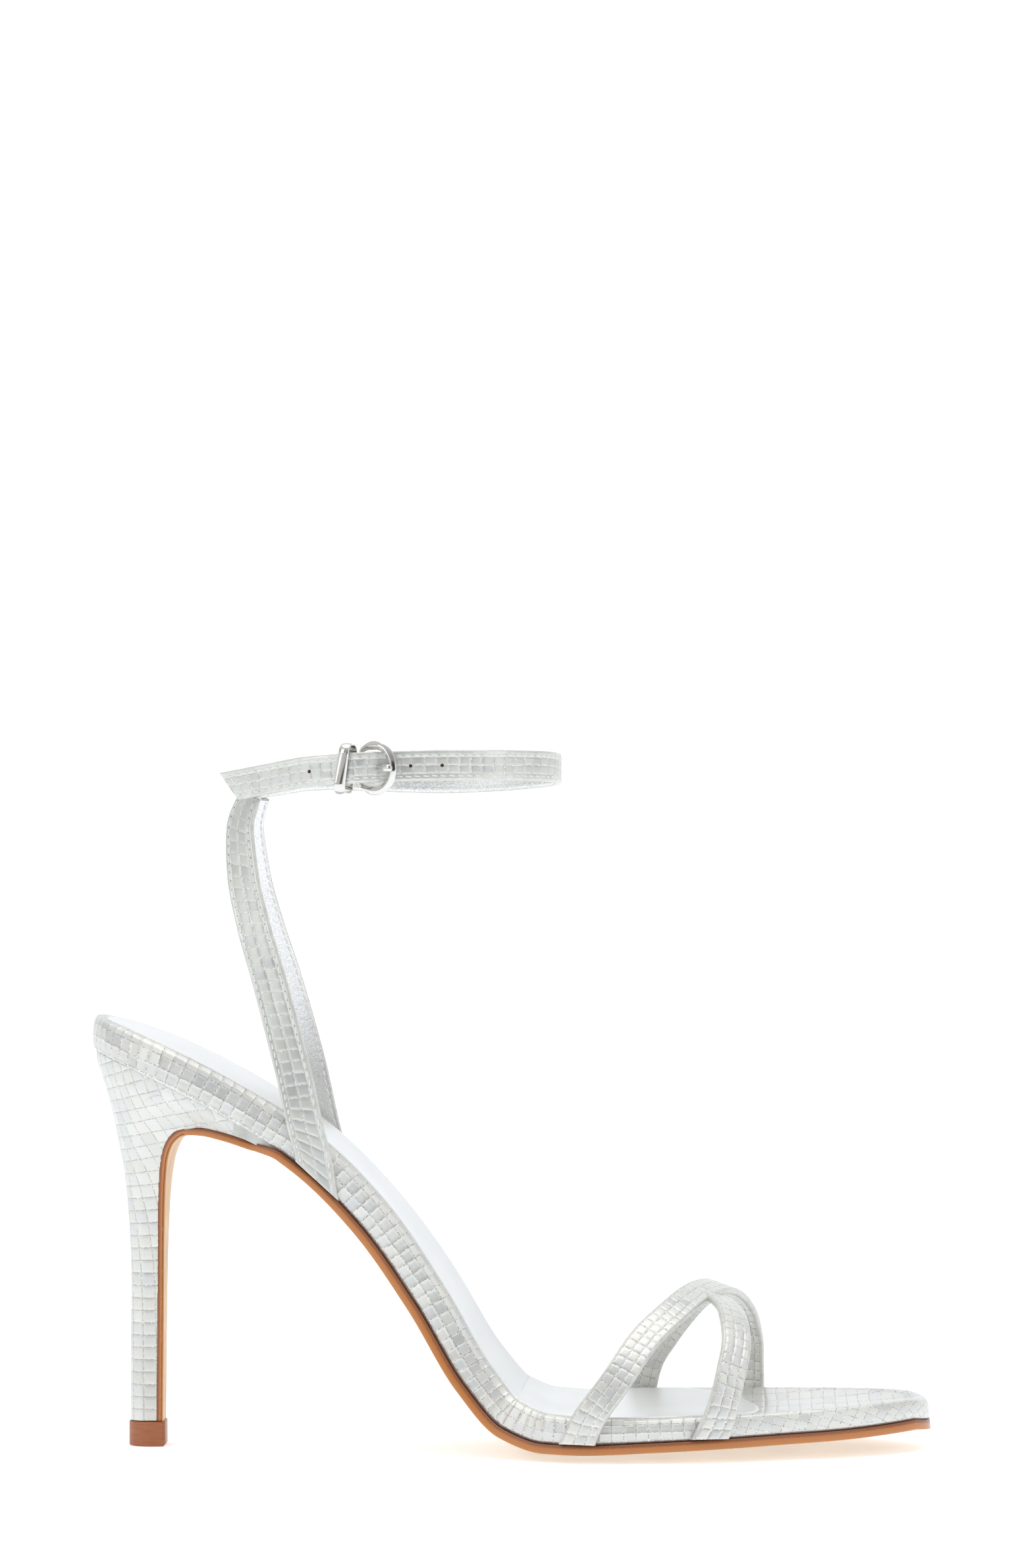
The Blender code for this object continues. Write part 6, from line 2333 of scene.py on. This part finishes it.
@dataclass
class Buckle:
    """The polished D ring with its bar, the prong on it, and the keeper behind."""

    loop: AnkleLoop
    bench: Bench
    depth: float = 0.0084
    half_height: float = 0.0057
    waist: float = 0.46
    section_size: tuple[float, float] = (0.0023, 0.0016)
    section: tuple[tuple[float, float], ...] = (
        (-1.0, -0.3), (-0.7, -1.0), (0.7, -1.0), (1.0, -0.3), (0.95, 0.2), (0.0, 1.0), (-0.95, 0.2),
    )
    arm: tuple[tuple[float, float], ...] = ((0.30, 0.985), (0.16, 0.930), (0.05, 0.835))
    ring_lift: float = 1.85
    prong_width: float = 0.0018
    prong_thickness: float = 0.0010
    prong_route: tuple[tuple[float, float], ...] = (
        (0.304, 0.020), (0.400, 0.070), (0.490, 0.150), (0.580, 0.262),
        (0.670, 0.385), (0.780, 0.520), (0.900, 0.600), (1.040, 0.614),
    )
    keeper_height: float = 0.0130
    keeper_width: float = 0.0028
    keeper_wall: float = 0.0008
    keeper_behind: float = 0.0039
    keeper_lean: float = math.radians(7)
    keeper_corner: float = 0.0022
    keeper_lifts: tuple[float, float] = (-2.15, 2.60)

    def build(self) -> None:
        """Make the three metal pieces."""
        self.origin, self.out = self.loop.near_bar(0.0, self.loop.bar_lift * self.loop.thickness)
        self.up = np.array([0.0, 0.0, 1.0])
        self.ahead = -np.cross(self.out, self.up)
        self.make_ring()
        self.make_prong()
        self.make_keeper()

    def place(self, points: Array) -> Array:
        """Points given ahead, out and up of the bar's middle, in space."""
        return self.origin + points[:, :1] * self.ahead + points[:, 1:2] * self.out + points[:, 2:3] * self.up

    def sweep(self, name: str, path: Array, outward: Array, sections: Array, node: str, closed: bool) -> None:
        """Sweep sections along a path in metal.

        Args:
            name: The piece's name.
            path: Its middle line.
            outward: The way out at each point.
            sections: A section at each point, as across and out.
            node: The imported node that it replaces.
            closed: Whether the path closes on itself.
        """
        if closed:
            tangent = unit(np.roll(path, -1, axis=0) - np.roll(path, 1, axis=0))
        else:
            tangent = unit(np.gradient(path, axis=0))
        outward = unit(outward - tangent * np.sum(outward * tangent, axis=1, keepdims=True))
        side = np.cross(tangent, outward)
        grid = path[:, None] + side[:, None] * sections[..., :1] + outward[:, None] * sections[..., 1:]
        if closed:
            grid = np.concatenate([grid, grid[:1]], 0)
        uv = np.zeros((grid.shape[0], grid.shape[1] + 1, 2))
        metal = self.bench.finishes.nickel
        piece = self.bench.grid(name, grid, [metal], "bright_metal", uv, around=True, caps=not closed)
        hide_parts(node)

    def make_ring(self) -> None:
        """The bevelled ring, thin and round where it is the bar."""
        turn = np.radians(np.linspace(-90, 90, 81))
        upper = [(self.waist + (1 - self.waist) * math.cos(t), math.sin(t)) for t in turn]
        foot = list(self.arm)
        bar = [(0.0, up) for up in np.linspace(0.72, -0.72, 9)]
        flat = np.array(upper + foot + bar + [(ahead, -up) for ahead, up in foot[::-1]])
        flat = np.vstack([flat[40:], flat[:41]])
        flat = curve_through(flat, 3)[:-1]
        rise = (self.ring_lift - self.loop.bar_lift) * self.loop.thickness / self.depth
        ahead = flat[:, 0] * self.depth
        points = self.place(np.stack([ahead, ahead * rise, flat[:, 1] * self.half_height], 1))
        lean = unit(self.ahead + self.out * rise)
        normal = np.cross(lean, self.up)
        normal = normal if np.dot(normal, self.out) > 0 else -normal
        wide = round_corners(np.array(self.section) * np.array(self.section_size) / 2, 3, 0.16)
        angles = np.arctan2(wide[:, 1], wide[:, 0])
        thin = np.stack([np.cos(angles), np.sin(angles)], 1) * self.loop.bar_radius
        share = np.clip((flat[:, 0] - 0.01) / self.arm[0][0], 0, 1)[:, None, None]
        sections = thin[None] * (1 - share) + wide[None] * share
        self.sweep(
            "ring", points, np.repeat(normal[None], len(points), axis=0), sections, "buckle_ring", True
        )

    def make_prong(self) -> None:
        """The prong, hooked round the bar and laid on the ring."""
        radius = self.loop.bar_radius + GAP + self.prong_thickness / 2
        hook = [(radius * math.cos(t), radius * math.sin(t)) for t in np.radians(np.linspace(190, 360, 8))]
        reach = [(ahead * self.depth, out * self.depth) for ahead, out in self.prong_route]
        curve = curve_through(np.array(hook + reach), 6)
        path = self.place(np.column_stack([curve, np.zeros(len(curve))]))
        outward = np.cross(unit(np.gradient(path, axis=0)), self.up)
        near_tip = np.clip((run_length(path)[-1] - run_length(path)) / 0.0006, 0, 1)
        size = np.sqrt(1 - (1 - near_tip) ** 2 * 0.9)
        oval = [(math.cos(t), math.sin(t)) for t in np.linspace(0, 2 * math.pi, 21)[:-1]]
        oval = np.sign(oval) * np.abs(oval) ** 0.7 * (self.prong_width / 2, self.prong_thickness / 2)
        self.sweep("prong", path, outward, oval[None] * size[:, None, None], "buckle_prong", False)

    def make_keeper(self) -> None:
        """The keeper, a flat band bent to a loop, its outer face slightly domed."""
        inner, outer = (lift * self.loop.thickness for lift in self.keeper_lifts)
        inner -= GAP + self.keeper_wall / 2
        outer += GAP + self.keeper_wall / 2
        high = self.keeper_height / 2 - self.keeper_wall / 2
        corner = min(self.keeper_corner, (outer - inner) / 2)
        path, away = [], []
        corners = ((outer - corner, high - corner, 0), (inner + corner, high - corner, 90))
        corners += ((inner + corner, -high + corner, 180), (outer - corner, -high + corner, 270))
        for out, up, first in corners:
            for turn in np.radians(np.linspace(first, first + 90, 13)):
                path.append((out + corner * math.cos(turn), up + corner * math.sin(turn)))
        loop = np.array(path + path[:1])
        lengths = run_length(loop)
        even = read_rows(np.linspace(0, lengths[-1], 121)[:-1], lengths, loop)
        points = []
        for out, up in even:
            ahead = -self.keeper_behind + up * math.tan(self.keeper_lean)
            point, _ = self.loop.near_bar(ahead, out, up)
            points.append(point)
            away.append(point - self.loop.near_bar(ahead, (inner + outer) / 2, 0.0)[0])
        half, deep = self.keeper_width / 2, self.keeper_wall / 2
        low = [(-1, -0.5), (-0.8, -1), (0.8, -1), (1, -0.5)]
        dome = [(1, 0.2), (0.75, 0.8), (0, 1.15), (-0.75, 0.8), (-1, 0.2)]
        band = np.array(low + dome)
        band = round_corners(band * (half, deep), 3, 0.22)
        self.sweep(
            "keeper_band", np.array(points), np.array(away), np.repeat(band[None], len(points), axis=0),
            "keeper", True
        )


def round_corners(outline: Array, times: int, share: float) -> Array:
    """Cut the corners of a closed outline again and again.

    Args:
        outline: Its points.
        times: How often.
        share: Share of each side that a cut takes.

    Returns:
        The rounder outline.
    """
    for _ in range(times):
        following = np.roll(outline, -1, axis=0)
        first = outline + (following - outline) * share
        second = outline + (following - outline) * (1 - share)
        outline = np.stack([first, second], 1).reshape(-1, 2)
    return outline


@dataclass
class Studio:
    """The pale floor, soft lights and camera of the photograph."""

    bench: Bench
    distance: float = 1.5
    height: float = 0.1685
    turn: float = math.radians(2.5)
    lens: float = 135.38
    panels: tuple[tuple[str, tuple[float, ...], tuple[float, ...], float, float, float], ...] = (
        ("overhead", (0.0, -0.1, 1.5), (0.0, 0.0, 0.0), 1.6, 1.2, 7.0),
        ("front_left", (-1.2, -1.1, 0.8), (0.0, 0.0, 0.08), 0.6, 1.1, 3.0),
        ("front_right", (1.3, -0.9, 0.7), (0.0, 0.0, 0.05), 0.5, 1.0, 2.0),
    )

    def build(self) -> None:
        """Make the floor, lights, sky and camera."""
        self.make_floor()
        self.make_lights()
        self.make_sky()
        self.make_camera()

    def make_floor(self) -> None:
        """A wide lit sweep that bends up far behind the shoe and glows a little itself."""
        n = Nodes("pale_floor")
        place = n.add("TexCoord").outputs["Object"]
        cloud = n.add("TexNoise", None, Vector=place, Scale=2.0)
        colour = n.ramp(cloud.outputs["Fac"], [(0.3, linear("f0f4fa")), (0.7, linear("f3f7fc"))])
        n.surface(
            Base_Color=colour, Roughness=0.9, Emission_Color=(1.0, 1.0, 1.0, 1.0), Emission_Strength=0.38
        )
        size, rise = 2.2, 2.4
        profile = [(-1.7, 0.0), (1.3, 0.0)]
        profile += [
            (1.3 + 0.5 * math.sin(t), 0.5 - 0.5 * math.cos(t)) for t in np.linspace(0, math.pi / 2, 12)[1:]
        ]
        profile.append((1.8, rise))
        points = [(x, y, z) for y, z in profile for x in (-size, size)]
        faces = [[2 * i, 2 * i + 1, 2 * i + 3, 2 * i + 2] for i in range(len(profile) - 1)]
        data = bpy.data.meshes.new("floor")
        data.from_pydata(points, [], faces)
        data.shade_smooth()
        data.materials.append(n.material)
        floor = bpy.data.objects.new("floor", data)
        bpy.context.scene.collection.objects.link(floor)
        floor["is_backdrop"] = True

    def make_lights(self) -> None:
        """Large soft panels above and in front."""
        for name, place, aim, wide, tall, power in self.panels:
            light = bpy.data.lights.new(name, "AREA")
            light.shape = "RECTANGLE"
            light.size, light.size_y = wide, tall
            light.energy = power
            panel = bpy.data.objects.new(name, light)
            panel.location = place
            panel.rotation_euler = (Vector(aim) - Vector(place)).to_track_quat("-Z", "Y").to_euler()
            bpy.context.scene.collection.objects.link(panel)

    def make_sky(self) -> None:
        """A white tent: bright behind and above, greyer in front, dark round the camera's hole."""
        world = bpy.data.worlds.new("tent")
        world.use_nodes = True
        tree = world.node_tree
        back = tree.nodes["Background"]
        place = tree.nodes.new("ShaderNodeTexCoord")
        parts = tree.nodes.new("ShaderNodeSeparateXYZ")
        tree.links.new(place.outputs["Generated"], parts.inputs[0])
        tones = []
        for axis, sign, stops in (
            ("Y", -1.0, [(0.5, 0.92), (0.80, 0.80), (0.90, 0.70), (0.975, 0.64), (0.990, 0.10), (1.0, 0.05)]),
            ("Z", 1.0, [(0.0, 1.0), (0.56, 1.0), (0.63, 0.72), (0.70, 0.60), (0.78, 0.80), (1.0, 1.0)]),
        ):
            scaled = tree.nodes.new("ShaderNodeMath")
            scaled.operation = "MULTIPLY_ADD"
            tree.links.new(parts.outputs[axis], scaled.inputs[0])
            scaled.inputs[1].default_value = 0.5 * sign
            scaled.inputs[2].default_value = 0.5
            ramp = tree.nodes.new("ShaderNodeValToRGB")
            tree.links.new(scaled.outputs[0], ramp.inputs[0])
            marks = ramp.color_ramp.elements
            while len(marks) < len(stops):
                marks.new(0.5)
            for mark, (where, tone) in zip(marks, stops):
                mark.position = where
                mark.color = (tone, tone, tone, 1.0)
            tones.append(ramp.outputs[0])
        both = tree.nodes.new("ShaderNodeMix")
        both.data_type = "RGBA"
        both.blend_type = "MULTIPLY"
        both.inputs[0].default_value = 1.0
        tree.links.new(tones[0], both.inputs[6])
        tree.links.new(tones[1], both.inputs[7])
        tree.links.new(both.outputs[2], back.inputs["Color"])
        back.inputs["Strength"].default_value = 0.95
        bpy.context.scene.world = world
        bpy.context.scene.view_settings.view_transform = "Standard"

    def make_camera(self) -> None:
        """A level long lens in front of the shoe, a little to the toe's side."""
        data = bpy.data.cameras.new("camera")
        data.lens = self.lens
        data.sensor_width = 36.0
        camera = bpy.data.objects.new("camera", data)
        camera.location = (
            self.distance * math.sin(self.turn), -self.distance * math.cos(self.turn), self.height
        )
        camera.rotation_euler = (math.pi / 2, 0.0, self.turn)
        bpy.context.scene.collection.objects.link(camera)
        bpy.context.scene.camera = camera


def main() -> None:
    """Build the dressed sandal, then the studio around it."""
    logging.basicConfig(level=logging.INFO, format="%(name)s %(message)s")
    bench = Bench()
    last = Last()
    shape = HeelShape()
    loop = AnkleLoop()
    Footbed(last, bench).build()
    Outsole(last, shape, bench).build()
    CoveredHeel(last, shape, bench).build()
    VampStraps(last, bench).build()
    AnkleStrap(loop, bench).build()
    BackStrap(last, loop, bench).build()
    Buckle(loop, bench).build()
    Studio(bench).build()


if __name__ == "__main__":
    main()
